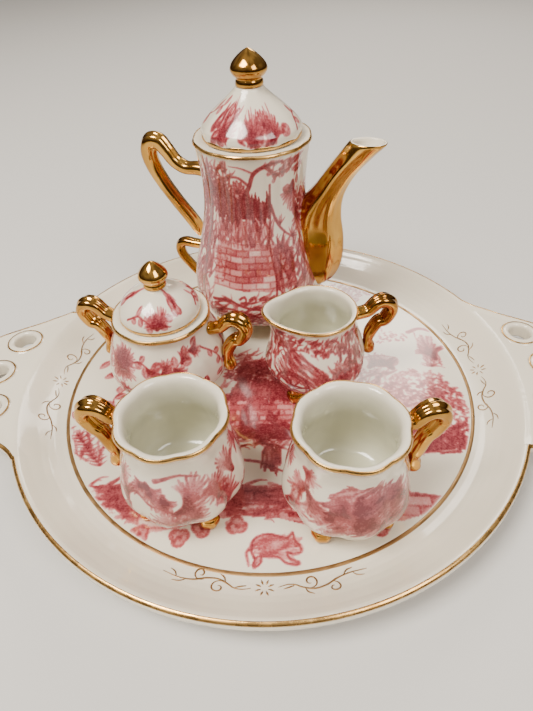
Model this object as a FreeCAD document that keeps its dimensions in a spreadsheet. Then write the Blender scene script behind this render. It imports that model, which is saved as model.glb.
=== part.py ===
import FreeCAD, Part
import math
import os

import Sketcher

# Miniature porcelain tea set for two: tray, pot, sugar bowl, creamer and two cups.
#
# Frame: origin under the middle of the tray, on the table; +Z up, +X along the tray's
# pierced ears, +Y towards the pot at the back of the tray. Millimetres.
#
# Every vessel is thrown in a lobed mould, so its wall is a loft through lobed rings.
# Spout, handles, feet and finials are moulded apart and luted on: each is trimmed by
# the wall it sits on, so the two meet face to face.

doc = FreeCAD.newDocument("tea_set")
sheet = doc.addObject("Spreadsheet::Sheet", "dims")
values = {}

# Each row: alias, value in mm (angles in degrees), what it is.
DIMENSIONS = [
    # tray
    ("well_level", 5.0, "height of the well's floor above the table"),
    ("well_radius", 68.0, "gold ring where the rim starts to rise"),
    ("lip_radius", 83.5, "outermost edge of the round tray"),
    ("lip_level", 12.5, "top of the rolled lip"),
    ("foot_ring", 52.0, "middle radius of the foot ring"),
    ("foot_ring_half", 1.5, "half the width of the foot ring"),
    ("ear_reach", 109.0, "tip of an ear from the centre"),
    ("ear_root", 35.5, "half the ear's width where it leaves the tray"),
    ("ear_thickness", 3.4, "thickness of an ear"),
    ("ear_hole", 3.7, "radius of a hole in an ear"),
    ("ear_eyelet", 1.0, "bead radius of the eyelet round a hole"),
    ("ear_hole_step", 16.5, "sideways distance of the outer holes"),
    ("ear_hole_mid", 93.5, "distance of the middle hole"),
    ("ear_hole_side", 89.5, "distance of the outer holes"),
    # pot
    ("pot_x", -3.5, "pot axis"),
    ("pot_y", 42.4, "pot axis"),
    ("pot_turn", -17.3, "direction of the spout"),
    ("pot_tall", 70.5, "pot rim above the well"),
    ("pot_rim", 19.2, "rim radius"),
    ("pot_waist", 17.5, "waist radius"),
    ("pot_belly", 24.2, "belly radius"),
    ("pot_base", 15.5, "base radius"),
    ("pot_lobe", 0.035, "depth of the flutes as a share of the radius"),
    ("pot_wall", 2.0, "wall thickness"),
    ("pot_mouth", 12.6, "radius of the mouth under the lid"),
    ("pot_lid_edge", 15.4, "lid radius"),
    ("pot_lid_tall", 14.6, "lid height from the rim to the finial"),
    ("pot_cap", 3.0, "thickness of the flat rim under the lid"),
    ("pot_skirt", 6.0, "depth of the lid's skirt"),
    ("pot_finial_tall", 10.0, "finial height"),
    ("pot_finial_wide", 5.0, "finial radius"),
    ("pot_strap", 2.6, "half thickness of the pot's handle"),
    ("pot_handle_reach", 41.5, "outermost point of the pot's handle"),
    ("spout_reach", 43.0, "tip of the spout from the pot's axis"),
    ("spout_mouth", 5.9, "half length of the spout's mouth"),
    ("spout_bore", 3.2, "bore radius of the spout"),
    # sugar bowl
    ("sugar_x", -33.2, "sugar bowl axis"),
    ("sugar_y", 2.9, "sugar bowl axis"),
    ("sugar_turn", -12.3, "direction of its right handle"),
    ("sugar_tall", 30.5, "rim above the well"),
    ("sugar_rim", 15.4, "rim radius"),
    ("sugar_belly", 19.4, "belly radius"),
    ("sugar_base", 12.5, "base radius"),
    ("sugar_lobe", 0.05, "depth of the lobes"),
    ("sugar_mouth", 10.6, "radius of the mouth under the lid"),
    ("sugar_lid_edge", 12.5, "lid radius"),
    ("sugar_lid_tall", 10.0, "lid height"),
    ("sugar_cap", 2.4, "thickness of the flat rim under the lid"),
    ("sugar_skirt", 4.0, "depth of the lid's skirt"),
    ("sugar_finial_tall", 8.6, "finial height"),
    ("sugar_finial_wide", 4.0, "finial radius"),
    ("sugar_handle_reach", 30.2, "outermost point of a handle"),
    # creamer
    ("creamer_x", 15.9, "creamer axis"),
    ("creamer_y", 2.75, "creamer axis"),
    ("creamer_turn", 10.7, "direction of its handle"),
    ("creamer_tall", 30.5, "rim above the well"),
    ("creamer_rim", 12.9, "rim radius"),
    ("creamer_belly", 16.4, "belly radius"),
    ("creamer_base", 11.0, "base radius"),
    ("creamer_lobe", 0.05, "depth of the lobes"),
    ("creamer_lip", 4.6, "how far the pouring lip stands out"),
    ("creamer_handle_reach", 27.3, "outermost point of the handle"),
    # cups
    ("cup_1_x", -22.6, "left cup axis"),
    ("cup_1_y", -43.1, "left cup axis"),
    ("cup_1_turn", 170.7, "direction of its handle"),
    ("cup_2_x", 21.6, "right cup axis"),
    ("cup_2_y", -46.8, "right cup axis"),
    ("cup_2_turn", 12.7, "direction of its handle"),
    ("cup_tall", 34.0, "rim above the well"),
    ("cup_rim", 14.4, "rim radius"),
    ("cup_neck", 13.5, "neck radius"),
    ("cup_belly", 16.8, "belly radius"),
    ("cup_base", 11.5, "base radius"),
    ("cup_lobe", 0.10, "depth of the lobes"),
    ("cup_handle_reach", 26.6, "outermost point of the handle"),
    # shared by the small vessels
    ("small_wall", 1.8, "wall thickness of sugar bowl, creamer and cups"),
    ("small_strap", 2.4, "half thickness of their handles"),
    ("foot_wide", 2.7, "radius of a foot"),
    ("foot_tall", 4.2, "bottom of a small vessel above the well"),
    ("pot_foot_tall", 5.6, "bottom of the pot above the well"),
    ("lid_play", 0.4, "gap between a lid's skirt and its mouth"),
]

for row, (alias, value, note) in enumerate(DIMENSIONS, start=1):
    sheet.set(f"A{row}", alias)
    sheet.set(f"B{row}", str(value))
    sheet.set(f"C{row}", note)
    sheet.setAlias(f"B{row}", alias)
    values[alias] = value
doc.recompute()


# ---------------------------------------------------------------- lengths
# A length is a list of terms (alias, factor) that are added up; a bare number is a
# constant term. The same length gives the sketch its first value and its expression.
def amount(length):
    total = 0.0
    for term in length:
        if isinstance(term, tuple):
            total += values[term[0]] * term[1]
        else:
            total += term
    return total


def formula(length):
    terms = []
    for term in length:
        if isinstance(term, tuple):
            terms.append(f"dims.{term[0]} * ({term[1]:.9f})")
        else:
            terms.append(f"({term:.9f})")
    return " + ".join(terms)


def times(length, factor):
    scaled = []
    for term in length:
        scaled.append((term[0], term[1] * factor) if isinstance(term, tuple) else term * factor)
    return scaled


# ---------------------------------------------------------------- document helpers
def plane(body, role):
    return next(feature for feature in body.Origin.OriginFeatures if feature.Role == role)


def new_body(name, x=None, y=None, level=None, turn=None):
    """A body whose own origin stands at (x, y, level) and is turned about +Z."""
    body = doc.addObject("PartDesign::Body", name)
    body.Label = name
    for axis, length in (("x", x), ("y", y), ("z", level)):
        if length is not None:
            body.setExpression(f".Placement.Base.{axis}", formula(length))
    if turn is not None:
        body.Placement.Rotation = FreeCAD.Rotation(FreeCAD.Vector(0, 0, 1), 1.0)
        body.setExpression(".Placement.Rotation.Angle", formula(turn))
    return body


def new_sketch(body, name, role="XY_Plane"):
    sketch = body.newObject("Sketcher::SketchObject", name)
    sketch.AttachmentSupport = [(plane(body, role), "")]
    sketch.MapMode = "FlatFace"
    return sketch


def pin(sketch, geometry, point, along, up):
    """Holds one point of a sketch at (along, up), both bound to the sheet."""
    for kind, length in (("DistanceX", along), ("DistanceY", up)):
        index = sketch.addConstraint(
            Sketcher.Constraint(kind, -1, 1, geometry, point, amount(length)))
        sketch.setExpression(f"Constraints[{index}]", formula(length))


def add_curve(sketch, poles, closed=False):
    """A cubic B-spline in a sketch with every pole bound to the sheet."""
    points = [FreeCAD.Vector(amount(along), amount(up), 0) for along, up in poles]
    curve = Part.BSplineCurve()
    curve.buildFromPoles(points, closed, 3)
    geometry = sketch.addGeometry(curve, False)
    sketch.exposeInternalGeometry(geometry)
    for number, (along, up) in enumerate(poles):
        pin(sketch, geometry + 1 + number, 3, along, up)
    return geometry


def add_line(sketch, start, end):
    first = FreeCAD.Vector(amount(start[0]), amount(start[1]), 0)
    last = FreeCAD.Vector(amount(end[0]), amount(end[1]), 0)
    geometry = sketch.addGeometry(Part.LineSegment(first, last), False)
    return geometry


def outline(body, name, runs, role="XZ_Plane"):
    """A closed profile from runs of corners: two corners make a line, more a curve."""
    sketch = new_sketch(body, name, role)
    pieces = []
    for run in runs:
        if len(run) == 2:
            geometry = add_line(sketch, run[0], run[1])
            pin(sketch, geometry, 1, *run[0])
        else:
            geometry = add_curve(sketch, run)
        pieces.append((geometry, len(run) == 2))
    for place, (geometry, straight) in enumerate(pieces):
        following = pieces[(place + 1) % len(pieces)]
        if straight:
            sketch.addConstraint(Sketcher.Constraint("Coincident", geometry, 2, following[0], 1))
    return sketch


def revolve(body, name, runs, cut=False, role="XZ_Plane"):
    """Turns a profile drawn in an upright plane right round the body's own Z axis."""
    sketch = outline(body, name + "_profile", runs, role)
    kind = "PartDesign::Groove" if cut else "PartDesign::Revolution"
    feature = body.newObject(kind, name)
    feature.Profile = sketch
    feature.ReferenceAxis = (sketch, ["V_Axis"])
    feature.Angle = 360.0
    return feature


def corners_to_runs(corners):
    """Straight runs between corners, closed at the end."""
    return [(corners[number], corners[(number + 1) % len(corners)])
            for number in range(len(corners))]


# ---------------------------------------------------------------- lobed rings
def ring_gain(poles):
    """How far out the poles of a closed cubic lie so that its curve has radius 1."""
    return 6.0 / (4.0 + 2.0 * math.cos(2 * math.pi / poles))


def ring_poles(radius, lobes, lobe, lip=None):
    """Poles of a ring: two per lobe, one on its crest and one in its valley."""
    count = 2 * lobes if lobe else 12
    gain = ring_gain(count)
    poles = []
    for number in range(count):
        angle = 2 * math.pi * number / count
        swell = 1.0
        if lobe:
            swell += lobe if number % 2 == 0 else -lobe
        reach = times(radius, gain * swell)
        if lip:
            pull = max(0.0, -math.cos(angle)) ** 6
            reach = reach + times(lip, pull * gain)
        poles.append((times(reach, math.cos(angle)), times(reach, math.sin(angle))))
    return poles


def ring(body, name, level, poles):
    sketch = new_sketch(body, name)
    sketch.setExpression(".AttachmentOffset.Base.z", formula(level))
    add_curve(sketch, poles, closed=True)
    return sketch


def loft(body, name, rings, cut=False):
    kind = "PartDesign::SubtractiveLoft" if cut else "PartDesign::AdditiveLoft"
    feature = body.newObject(kind, name)
    feature.Profile = rings[0]
    feature.Sections = rings[1:]
    feature.Ruled = False
    feature.Closed = False
    return feature


def vessel(body, stations, lobes, lobe, wall, floor, lip=None, mouth=None):
    """A lobed wall through stations (radius, level, share of lobe), hollowed out.

    The inside follows the same stations, a wall thinner, from the floor up. With a
    mouth the hollow stops under a flat rim that the mouth goes through.
    """
    rings = []
    for number, (radius, level, share) in enumerate(stations):
        last = number == len(stations) - 1
        near_lip = lip if last else (times(lip, 0.45) if lip and number == len(stations) - 2 else None)
        poles = ring_poles(radius, lobes, lobe * share, near_lip)
        rings.append(ring(body, f"outside_{number}", level, poles))
    loft(body, "wall", rings)
    doc.recompute()
    inner = []
    kept = stations[1:-2] + stations[-1:] if mouth else stations[1:]
    for number, (radius, level, share) in enumerate(kept):
        last = number == len(kept) - 1
        height = level
        if number == 0:
            height = floor
        if last:
            height = level + ([(mouth[1], -1.0)] if mouth else [0.2])
        near_lip = lip if last else (times(lip, 0.45) if lip and number == len(kept) - 2 else None)
        shrunk = radius + times(wall, -1.0 if number else -1.6)
        poles = ring_poles(shrunk, lobes, lobe * share * 0.7, near_lip)
        inner.append(ring(body, f"inside_{number}", height, poles))
    loft(body, "hollow", inner, cut=True)
    doc.recompute()


def trimmed(name, piece, wall, core=None):
    """The piece with whatever lies in the wall, or inside it, taken away."""
    if core:
        short = doc.addObject("Part::Cut", name + "_short")
        short.Base = piece
        short.Tool = core
        piece = short
    cut = doc.addObject("Part::Cut", name)
    cut.Base = piece
    cut.Tool = wall
    cut.Label = name
    return cut


def vessel_core(name, place, stations, wall):
    """What a vessel holds, out to the middle of its wall: it cuts the ends of straps."""
    core = new_body(name, *place)
    corners = [([0.0], stations[0][1] + [0.5])]
    for radius, level, _ in stations:
        corners.append((radius + times(wall, -0.5), level))
    corners[1] = (corners[1][0], stations[0][1] + [0.5])
    corners.append(([0.0], stations[-1][1]))
    revolve(core, "core", corners_to_runs(corners))
    return core


def strap(name, place, spine, half, wide):
    """A strap of oval section swept along a spine that starts straight outwards."""
    body = new_body(name + "_blank", *place)
    path = new_sketch(body, "spine", "XZ_Plane")
    add_curve(path, spine)
    section = new_sketch(body, "section", "YZ_Plane")
    section.setExpression(".AttachmentOffset.Base.z", formula(spine[0][0]))
    oval = []
    gain = ring_gain(8)
    for number in range(8):
        angle = 2 * math.pi * number / 8
        oval.append((times(wide, gain * math.cos(angle)),
                     spine[0][1] + times(half, gain * math.sin(angle))))
    add_curve(section, oval, closed=True)
    pipe = body.newObject("PartDesign::AdditivePipe", "strap")
    pipe.Profile = section
    pipe.Spine = (path, ["Edge1"])
    return body


nodes = []


# ---------------------------------------------------------------- tray
def build_tray():
    tray = new_body("tray")
    well = [("well_level", 1.0)]
    lip = [("lip_level", 1.0)]
    edge = [("lip_radius", 1.0)]
    inner_foot = [("foot_ring", 1.0), ("foot_ring_half", -1.0)]
    outer_foot = [("foot_ring", 1.0), ("foot_ring_half", 1.0)]
    under = times(well, 0.4)
    rim_curve = [
        (outer_foot + [1.0], under),
        (outer_foot + [8.0], under),
        (edge + [-11.0], times(well, 0.66)),
        (edge + [-4.0], times(lip, 0.55)),
        (edge + [0.2], times(lip, 0.76)),
        (edge + [0.3], times(lip, 0.93)),
        (edge + [-0.7], lip + [0.15]),
        (edge + [-2.2], lip + [0.2]),
        (edge + [-3.6], times(lip, 0.92)),
        (edge + [-7.5], times(lip, 0.68)),
        ([("well_radius", 1.0), 4.0], well + [0.1]),
        ([("well_radius", 1.0), -1.0], well),
        ([("well_radius", 1.0), -6.0], well),
    ]
    runs = [
        (([0.0], under), (inner_foot + [-1.0], under)),
        ((inner_foot + [-1.0], under), (inner_foot, [0.0])),
        ((inner_foot, [0.0]), (outer_foot, [0.0])),
        ((outer_foot, [0.0]), (outer_foot + [1.0], under)),
        rim_curve,
        (([("well_radius", 1.0), -6.0], well), ([0.0], well)),
        (([0.0], well), ([0.0], under)),
    ]
    revolve(tray, "dish", runs, role="YZ_Plane")
    doc.recompute()
    for side in (1.0, -1.0):
        build_ear(tray, side)
    nodes.append(("tray", tray))
    return tray


def build_ear(tray, side):
    """One pierced ear, flush with the lip, with three eyelets."""
    name = "ear_right" if side > 0 else "ear_left"
    reach = [("ear_reach", side)]
    root = [("ear_root", 1.0)]
    edge_in = [("lip_radius", side * 0.871)]
    sketch = new_sketch(tray, name + "_outline")
    sketch.setExpression(
        ".AttachmentOffset.Base.z", formula([("lip_level", 1.0), ("ear_thickness", -1.0)]))
    half = [
        (edge_in, root),
        ([("lip_radius", side * 0.945)], root + [-0.8]),
        ([("ear_reach", side * 0.79)], times(root, 0.80)),
        ([("ear_reach", side * 0.86)], times(root, 0.66)),
        ([("ear_reach", side * 0.945)], times(root, 0.56)),
        (reach + [side * 0.6], times(root, 0.32)),
        (reach + [side * 0.3], [0.0]),
    ]
    mirrored = [(along, times(up, -1.0)) for along, up in reversed(half[:-1])]
    curve = add_curve(sketch, half + mirrored)
    chord = add_line(sketch, half[0], mirrored[-1])
    sketch.addConstraint(Sketcher.Constraint("Coincident", curve, 1, chord, 1))
    sketch.addConstraint(Sketcher.Constraint("Coincident", curve, 2, chord, 2))
    pad = tray.newObject("PartDesign::Pad", name)
    pad.Profile = sketch
    pad.setExpression("Length", formula([("ear_thickness", 1.0), -0.05]))
    doc.recompute()
    clear_well(tray, name)
    holes = [
        (("ear_hole_mid", side), 0.0),
        (("ear_hole_side", side), 1.0),
        (("ear_hole_side", side), -1.0),
    ]
    for number, (along, across) in enumerate(holes):
        spot = ([along], [("ear_hole_step", across)])
        eyelet(tray, f"{name}_eyelet_{number}", spot)
    pierce(tray, name + "_holes", holes)


def clear_well(tray, name):
    """Takes away the part of an ear's pad that lies inside the rolled lip."""
    inside = [("lip_radius", 1.0), -2.2]
    floor = [("lip_level", 1.0), ("ear_thickness", -1.0)]
    low = [("well_radius", 1.0), 5.2]
    top = [("lip_level", 1.0), 1.0]
    corners = [
        ([0.0], floor + [-1.0]),
        (low, floor + [-1.0]),
        (inside + [-1.4], times([("lip_level", 1.0)], 0.92)),
        (inside, top),
        ([0.0], top),
    ]
    revolve(tray, name + "_clearance", corners_to_runs(corners), cut=True, role="YZ_Plane")
    doc.recompute()


def eyelet(tray, name, spot):
    """A raised bead round one hole."""
    bead = tray.newObject("PartDesign::AdditiveTorus", name)
    bead.AttachmentSupport = [(plane(tray, "XY_Plane"), "")]
    bead.MapMode = "FlatFace"
    bead.setExpression(".AttachmentOffset.Base.x", formula(spot[0]))
    bead.setExpression(".AttachmentOffset.Base.y", formula(spot[1]))
    bead.setExpression(
        ".AttachmentOffset.Base.z", formula([("lip_level", 1.0), ("ear_eyelet", -0.6)]))
    bead.setExpression("Radius1", formula([("ear_hole", 1.0), ("ear_eyelet", 1.3)]))
    bead.setExpression("Radius2", formula([("ear_eyelet", 1.0)]))


def pierce(tray, name, holes):
    sketch = new_sketch(tray, name + "_circles")
    for along, across in holes:
        centre = FreeCAD.Vector(amount([along]), amount([("ear_hole_step", across)]), 0)
        circle = sketch.addGeometry(
            Part.Circle(centre, FreeCAD.Vector(0, 0, 1), values["ear_hole"]), False)
        pin(sketch, circle, 3, [along], [("ear_hole_step", across)])
        index = sketch.addConstraint(Sketcher.Constraint("Radius", circle, values["ear_hole"]))
        sketch.setExpression(f"Constraints[{index}]", formula([("ear_hole", 1.0)]))
    pocket = tray.newObject("PartDesign::Pocket", name)
    pocket.Profile = sketch
    pocket.Type = "ThroughAll"
    pocket.Reversed = True
    doc.recompute()


# ---------------------------------------------------------------- feet
FOOT_ANGLES = (45.0, 135.0, 225.0, 315.0)


def build_feet(prefix, place, wall, across, tall):
    """Four ball feet under a vessel, at 45 degrees to its handle."""
    for number, angle in enumerate(FOOT_ANGLES, start=1):
        name = f"{prefix}_foot_{number}"
        blank = new_body(name + "_blank", *place)
        spot = (times(across, math.cos(math.radians(angle))),
                times(across, math.sin(math.radians(angle))))
        wide = [("foot_wide", 1.0)]
        runs = [
            (([0.0], [0.0]), (times(wide, 0.55), [0.0])),
            [
                (times(wide, 0.55), [0.0]),
                (times(wide, 1.05), [0.1]),
                (times(wide, 1.15), times(tall, 0.42)),
                (times(wide, 0.95), times(tall, 0.8)),
                (times(wide, 0.9), tall + [1.8]),
            ],
            ((times(wide, 0.9), tall + [1.8]), ([0.0], tall + [1.8])),
            (([0.0], tall + [1.8]), ([0.0], [0.0])),
        ]
        ball = revolve(blank, "ball", runs)
        profile = ball.Profile[0]
        profile.setExpression(".AttachmentOffset.Base.x", formula(spot[0]))
        profile.setExpression(".AttachmentOffset.Base.z", formula(times(spot[1], -1.0)))
        nodes.append((name, trimmed(name, blank, wall)))


# ---------------------------------------------------------------- pot
def vessel_place(prefix):
    return ([(prefix + "_x", 1.0)], [(prefix + "_y", 1.0)], [("well_level", 1.0)],
            [(prefix + "_turn", 1.0)])


def cut_mouth(body, radius, top, depth):
    corners = [
        ([0.0], top + times(depth, -1.0) + [-1.0]),
        (radius, top + times(depth, -1.0) + [-1.0]),
        (radius, top + [1.0]),
        ([0.0], top + [1.0]),
    ]
    revolve(body, "mouth", corners_to_runs(corners), cut=True)
    doc.recompute()


def drill(body, name, level, depth):
    """The passage from the pot into its spout, drilled outwards from the axis."""
    bore = [("spout_bore", 0.5625)]
    sketch = new_sketch(body, name + "_circle", "YZ_Plane")
    circle = sketch.addGeometry(
        Part.Circle(FreeCAD.Vector(0, amount(level), 0), FreeCAD.Vector(0, 0, 1), amount(bore)),
        False)
    pin(sketch, circle, 3, [0.0], level)
    index = sketch.addConstraint(Sketcher.Constraint("Radius", circle, amount(bore)))
    sketch.setExpression(f"Constraints[{index}]", formula(bore))
    before = body.Shape.Volume
    hole = body.newObject("PartDesign::Pocket", name)
    hole.Profile = sketch
    hole.Reversed = True
    hole.setExpression("Length", formula(depth))
    doc.recompute()
    if not body.Shape.Volume < before:
        raise RuntimeError(name + " cuts nothing")


def build_pot():
    place = vessel_place("pot")
    body = new_body("pot_body", *place)
    belly = [("pot_belly", 1.0)]
    waist = [("pot_waist", 1.0)]
    tall = [("pot_tall", 1.0)]
    stations = [
        ([("pot_base", 1.0)], [("pot_foot_tall", 1.0)], 0.2),
        (times(belly, 0.82), [("pot_foot_tall", 1.0), 2.0], 0.6),
        (times(belly, 0.946), times(tall, 0.163), 1.0),
        (belly, times(tall, 0.248), 1.0),
        (times(belly, 0.96), times(tall, 0.369), 1.0),
        (times(belly, 0.84), times(tall, 0.518), 1.0),
        (times(waist, 1.03), times(tall, 0.667), 1.0),
        (waist, times(tall, 0.794), 1.0),
        (times(waist, 1.034), times(tall, 0.908), 0.8),
        ([("pot_rim", 1.0)], tall, 0.3),
    ]
    vessel(body, stations, 12, values["pot_lobe"], [("pot_wall", 1.0)],
           [("pot_foot_tall", 1.0), 3.0], mouth=("pot_mouth", "pot_cap"))
    cut_mouth(body, [("pot_mouth", 1.0)], tall, [("pot_cap", 1.0)])
    drill(body, "spout_hole", times(tall, 0.56), [("pot_belly", 1.2)])
    nodes.append(("pot_body", body))
    core = vessel_core("pot_core", place, stations, [("pot_wall", 1.0)])
    build_spout(place, body, core, tall)
    build_pot_handle(place, body, tall)
    build_feet("pot", place, body, [("pot_base", 1.0), 0.6], [("pot_foot_tall", 1.0)])
    build_pot_lid(place, tall)


def plan_ring(body, name, level, near, far, half):
    """A level oval from near to far along the body's X axis, half wide to each side."""
    gain = ring_gain(8)
    centre = times(near, 0.5) + times(far, 0.5)
    reach = times(far, 0.5) + times(near, -0.5)
    poles = []
    for number in range(8):
        angle = 2 * math.pi * number / 8
        poles.append((centre + times(reach, gain * math.cos(angle)),
                      times(half, gain * math.sin(angle))))
    return ring(body, name, level, poles)


def build_spout(place, wall, core, tall):
    """A long-rooted spout that leaves the wall at the waist and leans out to its mouth."""
    reach = [("spout_reach", 1.0)]
    mouth = [("spout_mouth", 1.0)]
    bore = [("spout_bore", 1.0)]
    # level, near side, far side, half width: shares of pot_tall, spout_reach, spout_mouth
    outside = [
        (0.248, 0.372, 0.535, 0.42),
        (0.284, 0.326, 0.633, 0.76),
        (0.355, 0.279, 0.702, 1.07),
        (0.440, 0.279, 0.726, 1.19),
        (0.539, 0.279, 0.721, 1.15),
        (0.638, 0.302, 0.695, 1.02),
        (0.723, 0.391, 0.698, 0.88),
        (0.794, 0.486, 0.735, 0.78),
        (0.865, 0.565, 0.802, 0.73),
        (0.936, 0.647, 0.902, 0.71),
        (1.001, 0.723, 0.998, 0.71),
    ]
    # the same for the bore, with its half width as a share of spout_bore
    inside = [
        (0.510, 0.540, 0.640, 0.75),
        (0.600, 0.520, 0.655, 0.95),
        (0.723, 0.500, 0.652, 0.95),
        (0.794, 0.545, 0.682, 0.85),
        (0.865, 0.615, 0.750, 0.82),
        (0.936, 0.697, 0.845, 0.80),
        (1.004, 0.770, 0.950, 0.80),
    ]
    spout = new_body("pot_spout_blank", *place)
    for name, rows, width, cut in (("outside", outside, mouth, False),
                                   ("inside", inside, bore, True)):
        rings = []
        for number, (level, near, far, half) in enumerate(rows):
            rings.append(plan_ring(spout, f"{name}_{number}", times(tall, level),
                                   times(reach, near), times(reach, far), times(width, half)))
        loft(spout, name + "_loft", rings, cut)
        doc.recompute()
    drill(spout, "inlet", times(tall, 0.56), times(reach, 0.58))
    nodes.append(("pot_spout", trimmed("pot_spout", spout, wall, core)))


def turned_place(place, turn):
    return place[:3] + (place[3] + [turn],)


def build_pot_handle(place, wall, tall):
    """An angular ear-shaped strap, and the small scroll below it."""
    reach = [("pot_handle_reach", 1.0)]
    waist = [("pot_waist", 1.0)]
    belly = [("pot_belly", 1.0)]
    back = turned_place(place, 180.0)
    half = [("pot_strap", 1.0)]
    upper = times(tall, 0.816)
    bend = [("pot_strap", 1.83)]
    spine = [
        (waist + [-1.0], upper),
        (waist + [3.5], upper),
        (times(reach, 0.675), times(tall, 0.809)),
    ]
    for angle in (140.0, 95.0, 50.0, 5.0, -30.0):
        spine.append((times(reach, 0.853) + times(bend, math.cos(math.radians(angle))),
                      times(tall, 0.885) + times(bend, math.sin(math.radians(angle)))))
    spine += [
        (times(reach, 0.86), times(tall, 0.745)),
        (times(reach, 0.71), times(tall, 0.60)),
        (belly + [-0.4], times(tall, 0.515)),
        (belly + [-1.3], times(tall, 0.462)),
    ]
    blank = strap("pot_handle", back, spine, half, times(half, 1.15))
    nodes.append(("pot_handle", trimmed("pot_handle", blank, wall)))
    scroll_level = times(tall, 0.39)
    scroll = [
        (belly + [-2.4], scroll_level),
        (belly + [2.0], scroll_level + [0.4]),
        (belly + [9.0], scroll_level + [0.6]),
        (belly + [9.8], times(tall, 0.285)),
        (belly + [4.2], times(tall, 0.215)),
        (belly + [0.2], times(tall, 0.165)),
    ]
    curl = strap("pot_handle_scroll", back, scroll, times(half, 0.85), half)
    nodes.append(("pot_handle_scroll", trimmed("pot_handle_scroll", curl, wall)))


def build_pot_lid(place, tall):
    edge = [("pot_lid_edge", 1.0)]
    top = tall + [("pot_lid_tall", 1.0)]
    skirt = [("pot_mouth", 1.0), ("lid_play", -1.0)]
    low = tall + [("pot_skirt", -1.0)]
    neck = [("pot_finial_wide", 0.78)]
    slope = [
        (neck, top),
        (neck + [1.6], top + [-1.5]),
        (times(edge, 0.65), top + [-6.1]),
        (times(edge, 0.95), top + [-9.7]),
        (times(edge, 1.06), top + [-11.7]),
        (times(edge, 1.015), top + [-13.9]),
        (edge, tall),
    ]
    hollow = [
        (skirt + [-1.6], low),
        (skirt + [-1.6], tall + [1.5]),
        (skirt + [-1.9], tall + [4.0]),
        (times(skirt, 0.55), tall + [8.5]),
        (times(skirt, 0.25), tall + [11.0]),
        ([0.0], tall + [11.0]),
    ]
    runs = [
        (([0.0], top), (neck, top)),
        slope,
        ((edge, tall), (skirt, tall)),
        ((skirt, tall), (skirt, low)),
        ((skirt, low), (skirt + [-1.6], low)),
        hollow,
        (([0.0], tall + [11.0]), ([0.0], top)),
    ]
    lid = new_body("pot_lid", *place)
    revolve(lid, "lid", runs)
    nodes.append(("pot_lid", lid))
    build_finial("pot_finial", place, top, "pot_finial_wide", "pot_finial_tall", 0.15)


def build_finial(name, place, level, wide_name, tall_name, collar):
    """A bud on a short collar."""
    wide = [(wide_name, 1.0)]
    peak = level + [(tall_name, 1.0)]
    neck = times(wide, 0.78)
    collar_top = level + [(tall_name, collar)]
    bud = [
        (neck, collar_top),
        (times(wide, 0.98), level + [(tall_name, collar + 0.07)]),
        (times(wide, 1.25), level + [(tall_name, collar + 0.24)]),
        (times(wide, 0.92), level + [(tall_name, 0.68)]),
        (times(wide, 0.36), level + [(tall_name, 0.84)]),
        (times(wide, 0.20), peak + [-0.2]),
        ([0.0], peak),
    ]
    runs = [
        (([0.0], level), (neck, level)),
        ((neck, level), (neck, collar_top)),
        bud,
        (([0.0], peak), ([0.0], level)),
    ]
    finial = new_body(name, *place)
    revolve(finial, "bud", runs)
    nodes.append((name, finial))


# ---------------------------------------------------------------- loop handles
def scroll_handle(name, place, wall, neck, neck_level, side, side_level, reach, top):
    """A thick loop: out under the rim, round a tight bend, back to the belly, then a tail."""
    half = [("small_strap", 1.0)]
    bend = [("small_strap", 1.38)]
    bend_out = reach + times(half, -1.0) + times(bend, -1.0)
    bend_level = top + times(half, -1.0) + times(bend, -1.0)
    spine = [
        (neck + [-0.2], neck_level),
        (neck + [2.0], neck_level),
    ]
    for angle in (130.0, 88.0, 46.0, 4.0, -35.0):
        spine.append((bend_out + times(bend, math.cos(math.radians(angle))),
                      bend_level + times(bend, math.sin(math.radians(angle)))))
    spine += [
        (side + [4.2], side_level + [9.0]),
        (side + [2.2], side_level + [4.4]),
        (side + [1.8], side_level + [0.2]),
        (side + [3.7], side_level + [-3.4]),
    ]
    blank = strap(name, place, spine, half, times(half, 1.25))
    nodes.append((name, trimmed(name, blank, wall)))


# ---------------------------------------------------------------- sugar bowl
def build_sugar():
    place = vessel_place("sugar")
    body = new_body("sugar_body", *place)
    belly = [("sugar_belly", 1.0)]
    rim = [("sugar_rim", 1.0)]
    tall = [("sugar_tall", 1.0)]
    stations = [
        ([("sugar_base", 1.0)], [("foot_tall", 1.0)], 0.2),
        (times(belly, 0.85), [("foot_tall", 1.0), 1.6], 0.7),
        (times(belly, 0.97), times(tall, 0.30), 1.0),
        (belly, times(tall, 0.43), 1.0),
        (times(belly, 0.95), times(tall, 0.62), 1.0),
        (times(rim, 1.05), times(tall, 0.80), 0.8),
        (times(rim, 0.98), times(tall, 0.90), 0.6),
        (rim, tall, 0.5),
    ]
    vessel(body, stations, 8, values["sugar_lobe"], [("small_wall", 1.0)],
           [("foot_tall", 1.0), 2.4], mouth=("sugar_mouth", "sugar_cap"))
    cut_mouth(body, [("sugar_mouth", 1.0)], tall, [("sugar_cap", 1.0)])
    nodes.append(("sugar_body", body))
    reach = [("sugar_handle_reach", 1.0)]
    for name, turn in (("sugar_handle_right", 0.0), ("sugar_handle_left", 180.0)):
        scroll_handle(name, turned_place(place, turn), body, times(rim, 1.02),
                      times(tall, 0.86), belly, times(tall, 0.45), reach, tall + [3.0])
    build_feet("sugar", place, body, [("sugar_base", 1.0), 0.6], [("foot_tall", 1.0)])
    build_sugar_lid(place, tall)


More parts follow.
